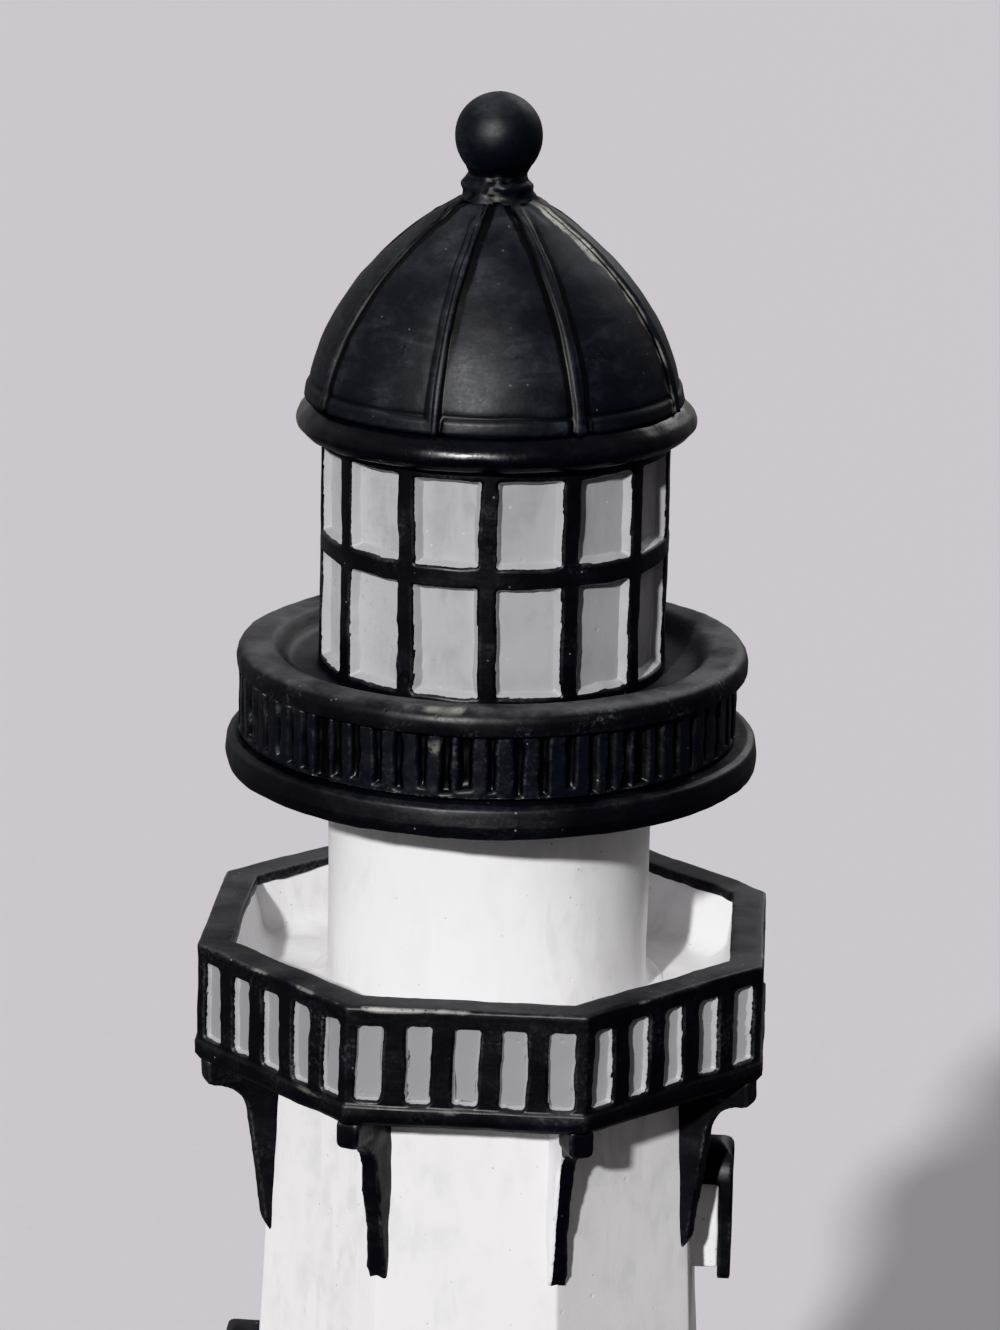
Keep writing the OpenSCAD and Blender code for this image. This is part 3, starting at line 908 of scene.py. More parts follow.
# Weather has thinned and dulled the dome and the finial. Paint gathered black along the ribs' creases, and
# painted shade darkens every crease.
BLACK_DOME = replace(
    BLACK,
    name="black_enamel_weathered",
    colour="#191a1e",
    thin="#2c2e33",
    dust="#55575c",
    rough=(0.46, 0.6),
    rubbed=0.16,
    dusty=0.4,
    stray=0.25,
    flecked=0.35,
    over=(Coat("#030304", 0.55, CREASE_SHADE), Coat("#030304", 0.5, LINED_AND_SHADED, 0.9)),
)
# The ledge is little rubbed and has little dust.
BLACK_CLEAN = replace(BLACK, name="black_enamel_clean", rubbed=0.22, dusty=0.15, stray=0.2)
# Dust greys the deck's rim, and painted shade darkens its dish.
BLACK_DUSTY_SHADED = replace(
    BLACK_CLEAN,
    name="black_enamel_dusty_shaded",
    dust="#7d7e82",
    rough=(0.42, 0.56),
    dusty=0.5,
    stray=0.4,
    over=(Coat("#15151a", 0.5, LINED_AND_SHADED, 0.75),),
)
# Painted shade: the grooves between the slats take a darker coat.
BLACK_SLATS = replace(
    BLACK,
    name="black_enamel_slats",
    colour="#1b1c20",
    nicked=(0.48, 0.6),
    over=(Coat("#050507", 0.45, GROOVE_SHADE),),
)
# Black over the grey that the panels were painted with first.
BLACK_FRAME = replace(
    BLACK,
    name="black_enamel_over_grey",
    dust="#6a6b6f",
    dusty=0.4,
    over=(Coat("#a9a8ab", 0.5, COVERED),),
)
# Black over white, which shows where the brush missed a flank.
BLACK_BRACKET = replace(BLACK, name="black_enamel_over_white", over=(Coat("#e6e5e7", 0.5, COVERED),))
# A chalky white: its strokes run down the walls and show only as a change of gloss.
WHITE = BrushedEnamel(
    name="white_brushed_enamel",
    slot=Slot.WHITE,
    colour="#ebeaeb",
    thin="#e0dfe0",
    edge="#f1f0f1",
    pool_and_shade="#cdcbc6",
    dust="#dcdbd7",
    mote="#9b9a96",
    bare="#cfcdc6",
    rough=(0.42, 0.6),
    stroke_mm=(4.0, 4.0, 14.0),
    rubbed=0.3,
    flecked=0.6,
)
# The shaft's white, a shade darker than the white elsewhere: painted shade, for the parapet's shade over the
# shaft.
WHITE_TOWER_SHADED = replace(WHITE, name="white_enamel_shaded", colour="#e5e3e4", thin="#d6d5d6")
# White with grey on the parapet's panels, and a lighter grey as painted light where the mesh asks for it.
WHITE_PANELS = replace(
    WHITE,
    name="white_enamel_grey_panels",
    over=(Coat("#929195", 0.5, COVERED), Coat("#b2b1b3", 0.5, LIT_SIDE, 0.9)),
)
# The panes' grey, with a paler coat where the mesh asks for it: painted light on the left panes.
GREY = replace(
    WHITE,
    name="grey_brushed_enamel",
    slot=Slot.GREY,
    colour="#a9a8aa",
    thin="#9b9a9d",
    edge="#bcbbbc",
    pool_and_shade="#87868a",
    dust="#a8a7a5",
    mote="#cbcac9",
    bare="#cfced0",
)
# Zinc-plated steel, turned: a cool grey with fine turning marks and dull spots.
STEEL = CutStock(
    name="zinc_plated_steel",
    slot=Slot.STEEL,
    colour="#83878c",
    grain="#a9adb2",
    grain_mm=(16.667, 16.667, 0.25),
    detail=3.0,
    rough=(0.24, 0.46),
    relief_mm=0.02,
    body=(("Metallic", 1.0),),
)
# Sheet rubber cut with a knife: matt charcoal with a fine grain and chalky dust.
RUBBER = CutStock(
    name="sheet_rubber",
    slot=Slot.RUBBER,
    colour="#26262a",
    grain="#3d3d40",
    grain_mm=(0.5, 0.5, 0.5),
    detail=4.0,
    rough=(0.7, 0.95),
    relief_mm=0.08,
    body=(("IOR", 1.52),),
)


def settle(name: str, skin: Skin, finish: Finish, node: str) -> None:
    """Makes a piece of a skin, seats it on the model and gives it its finish.

    Args:
        name: the piece's name.
        skin: its shape.
        finish: what covers it.
        node: CAD node that the piece stands for.
    """
    # No piece reaches out of the model's own box.
    skin.points = np.clip(skin.points, *(np.array(corner) / MM for corner in CAD_BOX))
    faces, slot = skin.faces, finish.slot
    mesh = bpy.data.meshes.new(name)
    triple = faces[:, 2] == faces[:, 3]
    lengths = np.where(triple, 3, 4)
    corners = faces.reshape(-1)[np.stack([np.ones_like(triple)] * 3 + [~triple], -1).reshape(-1)]
    mesh.vertices.add(len(skin.points))
    mesh.vertices.foreach_set("co", (skin.points * MM).astype(np.float32).ravel())
    mesh.loops.add(len(corners))
    mesh.loops.foreach_set("vertex_index", corners.astype(np.int32))
    mesh.polygons.add(len(faces))
    mesh.polygons.foreach_set("loop_start", np.concatenate([[0], np.cumsum(lengths)[:-1]]).astype(np.int32))
    mesh.update(calc_edges=True)
    mesh.validate()
    mesh.polygons.foreach_set("use_smooth", np.ones(len(mesh.polygons), bool))
    for signal, values in ((Signal.BEND, skin.bend()), (Signal.COVER, skin.cover), (Signal.WEAR_AND_LIGHT, skin.worn)):
        if values is not None:
            layer = mesh.attributes.new(signal.value, "FLOAT", "POINT")
            layer.data.foreach_set("value", values.astype(np.float32))
    mesh.materials.append(finish.material())
    piece = bpy.data.objects.new(name, mesh)
    bpy.context.scene.collection.objects.link(piece)
    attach(piece, ROOT)
    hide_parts(node)
    log.info("%s: %d faces, %s mm", name, len(faces), np.round(np.ptp(skin.points, axis=0), 1).tolist())


def dress(node: str, finish: Finish) -> None:
    """Gives a CAD node that stays visible its finish.

    Args:
        node: the node's name.
        finish: what covers it.
    """
    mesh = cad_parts[node].data
    mesh.materials.clear()
    mesh.materials.append(finish.material())
    log.info("%s: kept from the model", node)


# The figurine


@dataclass
class Plinth:
    """Stepped octagonal base with its rubber pad, cover plate and black skirting."""

    base_r: float = 66.0  # the slab's radius over its corners
    columns: int = 23  # columns of the mesh on each side
    pad_t: float = 1.5  # thickness of the pad
    pad_in: float = 3.0  # how far its corners lie in from the slab's
    pad_bore: float = 20.0  # inner flat distance of the pad
    slab_bore: float = 32.0  # that of the slab
    step_bore: float = 30.0  # that of the step
    slab_h: float = 10.5  # height of the slab
    step_h: float = 8.0  # height of the step
    step_in: float = 7.0  # how far the step stands in from the slab
    edge: float = 1.5  # radius of the top edges
    skirt_h: float = 6.0  # height of the skirting
    skirt_t: float = 2.6  # its thickness at the foot
    tower_foot_r: float = 47.0  # the tower's radius over its corners where it stands on the step
    corner_r: float = 0.9  # radius of the octagon's corners
    slab_in: float = 0.15  # how far the slab's faces lie in, which their swelling takes up
    sunk: float = 0.1  # how far the step is sunk into the slab
    let_in: float = 1.0  # how far the skirting is let into the tower

    def build(self) -> None:
        """Builds and dresses every piece of the base."""
        path = OctagonPath(np.linspace(-1, 1, self.columns), self.corner_r)
        z_slab = self.pad_t
        z_step = z_slab + self.slab_h
        z_tower = z_step + self.step_h
        grain = Grain(Seed.PLINTH)
        pad_flat = (self.base_r - self.pad_in) * FLAT
        pad = path.sweep(self.block(pad_flat, self.pad_bore, 0.0, z_slab, foot_r=0.4, edge_r=0.2))
        settle("base_pad_sheet", pad, RUBBER, "base_pad")
        slab_flat = self.base_r * FLAT - self.slab_in
        slab = path.sweep(self.block(slab_flat, self.slab_bore, z_slab, z_step, foot_r=0.6, edge_r=self.edge))
        slab.swell(grain, (14.0, 0.14)).sway(grain, 5.0, 0.1)
        settle("plinth_slab_casting", slab, BLACK, "plinth_slab")
        step_flat = (self.base_r - self.step_in) * FLAT
        low = z_step - self.sunk
        step = path.sweep(self.block(step_flat, self.step_bore, low, z_tower, foot_r=0.3, edge_r=self.edge))
        step.swell(grain, (14.0, 0.12)).sway(grain, 5.0, 0.1)
        settle("plinth_step_casting", step, WHITE, "plinth_step")
        foot = (self.tower_foot_r + self.skirt_t) * FLAT
        back = self.tower_foot_r * FLAT - self.let_in
        corners = [
            (foot, z_tower, 0.3),
            (foot - 0.75, z_tower + self.skirt_h, 0.9),
            (back, z_tower + self.skirt_h, 0.0),
            (back, z_tower, 0.0),
        ]
        skirt = path.sweep(rounded(corners, 1.2)).swell(grain, (9.0, 0.1)).sway(grain, 4.0, 0.14)
        settle("tower_skirt_band", skirt, BLACK, "tower_skirt")
        dress("base_plate", BLACK)
        dress("base_screws", STEEL)

    def block(
        self, out: float, bore: float, low: float, high: float, foot_r: float, edge_r: float
    ) -> np.ndarray:
        """Outline of a ring from flat distance bore to out, with its foot and top edges rounded."""
        corners = [(out, low, foot_r), (out, high, edge_r), (bore, high, 0.0), (bore, low, 0.0)]
        return rounded(corners, 2.0)


@dataclass
class Tower:
    """Tapered octagonal shaft, white, with softened arrises."""

    foot_r: float = 47.0  # radius over the corners at the foot
    top_r: float = 36.7  # radius over the corners under the walk
    z_foot: float = 20.0  # height of the foot
    z_top: float = 225.0  # height of the walk's underside
    arris_r: float = 1.1  # radius of the arrises
    wall_foot: float = 6.0  # thickness of the wall at the foot
    wall_top: float = 4.0  # its thickness at the top
    columns: int = 19  # columns of the mesh on each side

    def build(self) -> None:
        """Builds and dresses the shaft."""
        path = OctagonPath(np.linspace(-1, 1, self.columns), self.arris_r, corner_steps=5)
        foot, top = self.foot_r * FLAT, self.top_r * FLAT
        corners = [
            (foot, self.z_foot, 0),
            (top, self.z_top, 0),
            (top - self.wall_top, self.z_top, 0),
            (foot - self.wall_foot, self.z_foot, 0),
        ]
        grain = Grain(Seed.TOWER)
        shaft = path.sweep(rounded(corners, 2.5)).swell(grain, (22.0, 0.22), (6.0, 0.05))
        settle("tower_shaft_casting", shaft, WHITE_TOWER_SHADED, "tower_shaft")


@dataclass
class Openings:
    """Door and windows, each a white casing under a black arched frame."""

    voxel: float = 0.38  # size of the cells that round their edges
    rounds: int = 2  # how many times they are smoothed
    windows: tuple[str, ...] = ("front", "left", "right")  # the sides that have a window

    def build(self) -> None:
        """Builds and dresses the door and the windows."""
        grain = Grain(Seed.OPENINGS)
        for opening, infill in (*((f"window_{side}", "pane") for side in self.windows), ("door", "leaf")):
            self.cast(f"{opening}_surround", WHITE, grain)
            self.cast(f"{opening}_hood", BLACK, grain)
            self.cast(f"{opening}_{infill}", GREY, grain)
        self.cast("door_step", BLACK, grain)

    def cast(self, node: str, finish: Finish, grain: Grain) -> None:
        """Makes a softened casting of one node, whose surface follows the grain."""
        skin = cast_copy(node, self.voxel, self.rounds).swell(grain, (3.0, 0.05)).sway(grain, 4.0, 0.08)
        settle(f"{node}_casting", skin, finish, node)


@dataclass
class Brackets:
    """Eight brackets under the corners of the parapet."""

    voxel: float = 0.36  # size of the cells that round their edges
    rounds: int = 3  # how many times they are smoothed
    # Where they stand.
    corners: tuple[str, ...] = (
        *("front_left", "front_right", "right_front", "right_rear"),
        *("rear_right", "rear_left", "left_rear", "left_front"),
    )
    bare_flank: str = "front_right"  # the one whose inner flank the black brush missed
    bare_out: float = 44.5  # how far out from the axis that flank stays white
    z_walk: float = 225.0  # height of the parapet's foot

    def build(self) -> None:
        """Builds and dresses the brackets."""
        grain = Grain(Seed.BRACKETS)
        for corner in self.corners:
            skin = cast_copy(f"bracket_{corner}", self.voxel, self.rounds)
            skin.swell(grain, (3.5, 0.14), (1.6, 0.04)).sway(grain, 6.0, 0.24)
            bare = corner == self.bare_flank
            skin.cover = self.unpainted(skin) if bare else None
            finish = BLACK_BRACKET if bare else BLACK
            settle(f"bracket_{corner}_casting", skin, finish, f"bracket_{corner}")

    def unpainted(self, skin: Skin) -> np.ndarray:
        """White on the flank that the black brush missed.

        Args:
            skin: the bracket.

        Returns:
            (n,) share of white at each point.
        """
        out, across = facing(np.array([TURN / 2, TURN / 2 + 90]))
        low = step_up(self.z_walk - 0.8 - skin.points[:, 2], 0.0, 0.6)
        inside = step_up(self.bare_out - skin.points[:, :2] @ out, 0.0, 1.6)
        return step_up(-skin.points[:, :2] @ across, 0.6, 1.3) * low * inside


@dataclass
class ParapetWalk:
    """Octagonal walk: a white tray inside a black panelled parapet."""

    flat: float = 50.0 * FLAT  # distance from the axis to the parapet's face
    z_walk: float = 225.0  # height of its foot
    z_coping: float = 245.0  # height of its top
    coping_w: float = 5.6  # width of the coping
    coping_t: float = 1.5  # its thickness
    rail_h: float = 2.9  # height of the rail under it
    foot_rail_h: float = 3.8  # height of the foot rail
    foot_out: float = 0.4  # how far the foot rail stands out
    relief: float = 1.15  # depth of the panels behind the face
    cut_in: float = 0.3  # how far their openings reach behind the panels
    over_t: float = 1.2  # how far under the top the pierced face ends
    foot_r: float = 0.7  # radius of the parapet's lower edge
    panels: int = 5  # panels on a side
    share: float = 0.58  # a panel's width as a share of their pitch
    wall_w: float = 0.6  # width of the slope round a panel
    panel_r: float = 0.9  # radius of a panel's corners
    well_depth: float = 11.0  # depth of the tray below the coping
    corner_r: float = 1.1  # radius of the octagon's corners
    # The front coping's stretch whose edge is chipped, from left to right.
    chipped: tuple[float, float] = (-17.6, 2.0)
    # Spacing of the mesh near an edge, how far that reaches, and the widest elsewhere.
    mesh_mm: tuple[float, float, float] = (0.22, 0.9, 1.1)
    columns: int = 33  # columns of the tray's mesh on each side
    tray_bore: float = 24.0  # inner flat distance of the tray
    tray_corner_r: float = 0.8  # radius of the tray's corners
    cove_r: float = 3.6  # radius between the tray's wall and its floor

    def build(self) -> None:
        """Builds and dresses the parapet and the tray."""
        settle("parapet_casting", self.parapet(), BLACK_FRAME, "parapet_frame")
        settle("parapet_tray_casting", self.tray(), WHITE_PANELS, "parapet_tray")

    def parapet(self) -> Skin:
        """Black parapet with recessed panels cut through to the tray.

        Returns:
            The parapet.
        """
        half_side = (self.flat - self.corner_r) * HALF_TAN
        pitch = 2 * self.flat * HALF_TAN / self.panels
        half_w = pitch * self.share / 2
        centres = [(i - (self.panels - 1) / 2) * pitch for i in range(self.panels)]
        cuts = [c + s * half_w for c in centres for s in (-1, 1)]
        across = samples_near(cuts, -half_side, half_side, *self.mesh_mm)
        path = OctagonPath(across / half_side, self.corner_r)
        low = self.z_walk + self.foot_rail_h
        high = self.z_coping - self.rail_h
        up = samples_near([low, high], self.z_walk, self.z_coping - self.over_t, *self.mesh_mm)
        wander = Grain(Seed.PARAPET)
        grid = self.face(path, up)
        # Each offset takes another stretch of the field, so that the shifts don't follow each other.
        shift_x = 0.24 * wander.at(grid, 5.0) + 0.17 * wander.at(grid + 60, 1.5)
        shift_z = 0.26 * wander.at(grid + 200, 4.0) + 0.13 * wander.at(grid + 260, 1.3)
        side = path.share * half_side + shift_x
        height = up[:, None] + shift_z - (low + high) / 2
        sizes = (half_w, (high - low) / 2, self.panel_r)
        sink = np.max([within(side - centre, height, *sizes) for centre in centres], axis=0)
        deep = self.relief + self.cut_in
        on_side = np.abs(path.share) < 1
        depth = deep * step_up(sink, -0.15, self.wall_w) * on_side
        through = depth >= deep - NEARLY
        outer = grid.copy()
        outer[..., :2] -= depth[..., None] * path.out
        inner = path.ring(np.full(len(up), self.flat - deep), up)
        outer[through] = inner[through]
        skin = pierced(outer, inner, through, step_up(sink, 0.0, 0.35) * on_side, self.coping(path))
        self.droop(skin, wander)
        skin.worn = self.chips(skin, wander)
        return skin.swell(wander, (3.2, 0.08), (1.2, 0.04)).sway(wander, 8.0, 0.18)

    def face(self, path: OctagonPath, up: np.ndarray) -> np.ndarray:
        """Parapet's outer face with its foot rail, before the panels are cut.

        Args:
            path: the columns.
            up: (rows,) heights.

        Returns:
            (rows, cols, 3) points.
        """
        near_foot = np.clip(self.foot_r - (up - self.z_walk), 0, self.foot_r)
        foot = self.foot_out * step_up(self.z_walk + self.foot_rail_h - 0.5 - up, -0.25, 0.25)
        foot = foot - self.foot_r + np.sqrt(self.foot_r**2 - near_foot**2)
        return path.ring(self.flat + foot, up)

    def coping(self, path: OctagonPath) -> np.ndarray:
        """Coping, from the top of the pierced face over to the back of the panels' openings.

        Args:
            path: the columns.

        Returns:
            (rows, cols, 3) points.
        """
        well = self.flat - self.coping_w
        z_lip = self.z_coping - self.coping_t
        corners = [
            (self.flat, self.z_coping - self.over_t, 0),
            (self.flat, self.z_coping, 0.75),
            (well, self.z_coping, 0.55),
            (well + 0.1, z_lip, 0.3),
            (self.flat - (self.relief + self.cut_in), z_lip, 0),
        ]
        over = rounded(corners, closed=False)[1:]
        return path.ring(over[:, 0], over[:, 1])

    def droop(self, skin: Skin, grain: Grain) -> None:
        """Lets the coping's inner edge hang down unevenly over the well.

        Args:
            skin: the parapet.
            grain: the field that the edge follows.
        """
        lip = step_up(-np.abs(skin.points[:, 2] - (self.z_coping - self.coping_t)), -1.4, -0.2)
        inside = step_up(self.flat - self.coping_w + 1.5 - skin.flats(), 0.0, 1.0)
        hang = 0.45 + 0.8 * grain.at(skin.points + 33, 9.0) + 0.25 * grain.at(skin.points, 2.2)
        skin.points[:, 2] -= lip * inside * hang

    def chips(self, skin: Skin, grain: Grain) -> np.ndarray:
        """Where the paint is off: along the coping's front edge and in spots on the foot rail.

        Args:
            skin: the parapet.
            grain: the field that the spots follow.

        Returns:
            (n,) wear at each point.
        """
        x, y, z = skin.points.T
        out = skin.flats()
        edge = np.exp(-((np.hypot(z - self.z_coping + 0.25, out - self.flat + 0.2) / 0.5) ** 2))
        first, last = self.chipped
        stretch = step_up(x, first, first + 1.5) * step_up(last - x, 0.0, 2.5) * (y < -0.9 * self.flat)
        patch = step_up(grain.at(skin.points + 410, 6.0), 0.25, 0.6)
        rail = np.exp(-(((z - self.z_walk - self.foot_rail_h + 0.9) / 0.9) ** 2))
        stretch = stretch * (0.75 + 0.5 * grain.at(skin.points, 2.0))
        return edge * np.maximum(stretch, 0.5 * patch) + 0.5 * rail * patch

    def tray(self) -> Skin:
        """White tray with a coved floor, and grey panels on its outer faces.

        Returns:
            The tray.
        """
        path = OctagonPath(np.linspace(-1, 1, self.columns), self.tray_corner_r)
        out = self.flat - self.relief - 0.15
        well = self.flat - self.coping_w
        floor = self.z_coping - self.well_depth
        z_under = self.z_coping - self.coping_t - 0.05
        corners = [
            (out, self.z_walk + 0.05, 0.2),
            (out, z_under, 0.2),
            (well + 0.35, z_under, 0.3),
            (well - 1.3, floor, self.cove_r),
            (self.tray_bore, floor, 0),
            (self.tray_bore, self.z_walk + 0.05, 0),
        ]
        skin = path.sweep(rounded(corners))
        skin.cover = step_up(skin.flats(), well + 1.5, well + 2.5)
        # Painted light: the grey is lighter on the front right side, for the light that falls on that side.
        past_side = np.abs(skin.angles() - TURN) - TURN / 2
        skin.worn = skin.cover * step_up(-past_side, -0.5, 0.5)
        wander = Grain(Seed.TRAY)
        skin.swell(wander, (7.0, 0.28), (2.6, 0.11), share=1 - skin.cover)
        return skin.swell(wander, (4.0, 0.09), share=skin.cover)


@dataclass
class WatchRoom:
    """Round white drum between the walk and the gallery."""

    radius: float = 26.6  # its outer radius
    bore: float = 23.0  # its inner radius
    z_foot: float = 234.0  # height of the tray's floor
    z_top: float = 272.3  # height of the ledge's underside
    cove_r: float = 3.2  # radius of the cove at its foot
    z_seam: float = 262.6  # height of the faint seam that the mould left
    seam_w: float = 0.5  # half the seam's width
    seam_deep: float = 0.06  # its depth

    def build(self) -> None:
        """Builds and dresses the drum."""
        corners = [
            (self.bore, self.z_foot - 0.3, 0),
            (self.radius + self.cove_r, self.z_foot - 0.3, 0),
            (self.radius + self.cove_r - 0.2, self.z_foot + 0.1, 0),
            (self.radius, self.z_foot + 0.3, self.cove_r),
            (self.radius, self.z_top, 0),
            (self.bore, self.z_top, 0),
        ]
        drum = lathe(rounded(corners), around=180)
        seam = np.exp(-(((drum.points[:, 2] - self.z_seam) / self.seam_w) ** 2))
        outer = step_up(drum.radii(), self.radius - 1.1, self.radius - 0.4)
        drum.press(-self.seam_deep * seam * outer)
        grain = Grain(Seed.WATCH_ROOM)
        drum.swell(grain, (12.0, 0.12), (3.5, 0.035))
        settle("watch_room_casting", drum, WHITE, "watch_room")


@dataclass
class Gallery:
    """Ledge, slatted balustrade and dished deck round the lantern."""

    rim_r: float = 41.8  # radius of the deck's rim
    ledge_r: float = 43.75  # radius of the ledge
    wall_r: float = 40.9  # radius of the slats' faces
    wall_in: float = 37.0  # inner radius of the balustrade
    bore: float = 23.3  # inner radius of the ledge and the deck
    z_ledge: float = 272.3  # height of the ledge's underside
    z_wall: float = 278.3  # height of the slats' feet
    z_rim: float = 288.6  # height of the rim's underside
    rim_t: float = 4.3  # thickness of the rim
    z_lantern: float = 288.5  # height of the lantern's foot
    seat_r: float = 28.85  # radius of the flat that the lantern stands on
    pale_spots_at: float = -8.0  # angle of the pale spots on the rim and the slats, where the key light glints; the rim's spot is rubbed paint and a painted highlight
    shift: float = 0.6  # how far the balustrade sits off the axis, to the left
    bays: int = 9  # bays round the balustrade
    slats: int = 7  # slats in a bay
    first_gap: float = 1.2  # angle of the first gap between bays
    groove_w: float = 1.0  # width of a groove between slats
    groove_deep: float = 0.9  # its depth
    gap_w: float = 2.2  # width of a gap between bays
    gap_deep: float = 1.3  # its depth
    foot_h: float = 0.9  # height of the grooves' feet over the slats' feet
    feet_vary: float = 0.6  # how far a groove's foot lies off that height
    wall_up: float = 0.3  # how far the slats run up into the deck
    land_w: float = 6.0  # width of the rim's flat top
    # Angles of the gaps between bays that show in front, where they are uneven.
    front_gaps: tuple[float, ...] = (-66.5, -36.3, -0.9, 40.9)
    # Angles of the grooves and gaps there.
    front_cuts: tuple[float, ...] = (
        -66.5, -61.4, -56.3, -51.2, -46.1, -41.2, -36.3, -31.5, -26.8, -21.1, -15.9, -10.3, -5.1,
        -0.9, 5.2, 11.1, 16.5, 22.9, 27.9, 32.6, 36.5, 40.9, 45.9, 51.6, 57.1, 62.8, 69.1,
    )  # fmt: skip
    columns: int = 900  # columns of the balustrade's mesh
    # Spacing of its rows near the grooves' feet, how far that reaches, and the widest elsewhere.
    rows_mm: tuple[float, float, float] = (0.25, 0.75, 0.8)

    def build(self) -> None:
        """Builds and dresses the gallery."""
        settle("gallery_ledge_casting", self.ledge(), BLACK_CLEAN, "gallery_ledge")
        settle("gallery_balustrade_casting", self.balustrade(), BLACK_SLATS, "gallery_balustrade")
        settle("gallery_deck_casting", self.deck(), BLACK_DUSTY_SHADED, "gallery_deck")

    def ledge(self) -> Skin:
        """Ledge with a full upright edge, a narrow lip and a shallow channel behind it.

        Returns:
            The ledge.
        """
        corners = [
            (self.bore, self.z_ledge, 0),
            (self.ledge_r - 0.5, self.z_ledge, 0.8),
            (self.ledge_r, self.z_ledge + 2.2, 1.0),
            (self.ledge_r - 0.35, self.z_wall - 1.0, 0.7),
            (self.ledge_r - 1.5, self.z_wall - 0.6, 0.5),
            (self.wall_r - 0.4, self.z_wall - 0.75, 0.0),
            (self.wall_in - 2, self.z_wall - 0.1, 0),
            (self.wall_in - 4, self.z_wall - 0.5, 0),
            (self.bore, self.z_wall - 0.5, 0),
        ]
        grain = Grain(Seed.LEDGE)
        return lathe(rounded(corners)).swell(grain, (9.0, 0.2), (2.6, 0.08))

    def grooves(self) -> tuple[np.ndarray, np.ndarray, np.ndarray]:
        """Grooves round the balustrade.

        Returns:
            The angle, the width and the depth of each.
        """
        pitch = 360 / self.bays / self.slats
        regular = [self.first_gap + k * pitch for k in range(self.bays * self.slats)]
        first, last = self.front_cuts[0], self.front_cuts[-1]
        rest = [a for a in regular if last + 0.6 * pitch < a < 360 + first - 0.6 * pitch]
        wide = [min(abs(a - g) for g in self.front_gaps) < 0.1 for a in self.front_cuts]
        wide += [round((a - self.first_gap) / pitch) % self.slats == 0 for a in rest]
        angles = np.array([*self.front_cuts, *rest])
        rng = np.random.default_rng(Seed.GROOVES)
        angles = angles + rng.uniform(-0.2, 0.2, len(angles))
        widths = np.where(wide, self.gap_w, self.groove_w) * rng.uniform(0.8, 1.25, len(angles))
        deeps = np.where(wide, self.gap_deep, self.groove_deep * rng.uniform(0.75, 1.1, len(angles)))
        return angles, widths, deeps

    def balustrade(self) -> Skin:
        """Ring of slats, with narrow grooves in each bay and a wide gap between bays.

        Returns:
            The ring.
        """
        grooves, widths, deeps = self.grooves()
        ends = np.random.default_rng(Seed.GROOVE_FEET).uniform(-self.feet_vary, self.feet_vary, len(grooves))
        angle = np.arange(self.columns) * 360 / self.columns
        away = (angle[:, None] - grooves + 180) % 360 - 180
        nearest = np.abs(away).argmin(1)
        off = np.radians(away[np.arange(len(angle)), nearest]) * self.wall_r
        low = self.z_wall + self.foot_h
        up = samples_near([low], self.z_wall, self.z_rim + self.wall_up, *self.rows_mm)
        wander = Grain(Seed.BALUSTRADE)
        ring = facing(angle)
        outer = upright(ring * self.wall_r, up)
        ripple = 0.3 * wander.at(outer, 2.2)
        side = widths[nearest] / 2 - np.abs(off) + ripple
        foot = up[:, None] - low - ends[nearest] + ripple
        sunk = step_up(np.minimum(side, foot), -0.45, 0.3)
        outer[..., :2] -= (deeps[nearest] * sunk)[..., None] * ring
        skin = Skin.shell(outer, upright(ring * self.wall_in, up))
        # Painted shade: the further into a groove, the darker its coat.
        skin.cover = outside(sunk)
        turn = skin.angles() - self.pale_spots_at
        spot = (turn / 3.6) ** 2 + ((skin.points[:, 2] - self.z_rim + 1.5) / 3.2) ** 2
        skin.worn = (0.34 + 0.3 * wander.at(skin.points, 1.0)) * np.exp(-spot)
        skin.points[:, 0] -= self.shift
        return skin.swell(wander, (1.8, 0.1), (0.9, 0.05), (7.0, 0.12))

    def deck(self) -> Skin:
        """Rim and dished deck in one casting.

        Returns:
            The deck.
        """
        top = self.z_rim + self.rim_t
        land = self.rim_r - self.land_w
        corners = [
            (self.wall_in - 1, self.z_rim, 0),
            (self.rim_r - 0.1, self.z_rim, 0.5),
            (self.rim_r, top - 0.3, 2.3),
            (land, top - 0.4, 1.5),
            (land - 2.6, self.z_lantern + 1.1, 1.8),
            (self.seat_r - 0.8, self.z_lantern + 0.7, 0),
            (self.bore, self.z_lantern - 0.05, 0),
            (self.bore, self.z_rim - 1.5, 0),
            (self.wall_in - 1, self.z_rim - 1.5, 0),
        ]
        grain = Grain(Seed.DECK)
        skin = lathe(rounded(corners))
        # Rubbed paint and a painted highlight on the rim's top edge, where the key light glints.
        edge = np.hypot(skin.radii() - self.rim_r + 1.4, skin.points[:, 2] - top + 0.2) / 1.8
        fleck = 0.6 + 0.7 * grain.at(skin.points, 2.2)
        skin.worn = 0.75 * fleck * np.exp(-(edge**2) - ((skin.angles() - self.pale_spots_at) / 12) ** 2)
        # Painted shade: the dish inside the rim's flat top takes a darker coat.
        skin.cover = step_up(land - skin.radii() + 0.4 * grain.at(skin.points, 4.0), 0.6, 2.0)
        return skin.swell(grain, (10.0, 0.2), (3.0, 0.08), (1.3, 0.05))


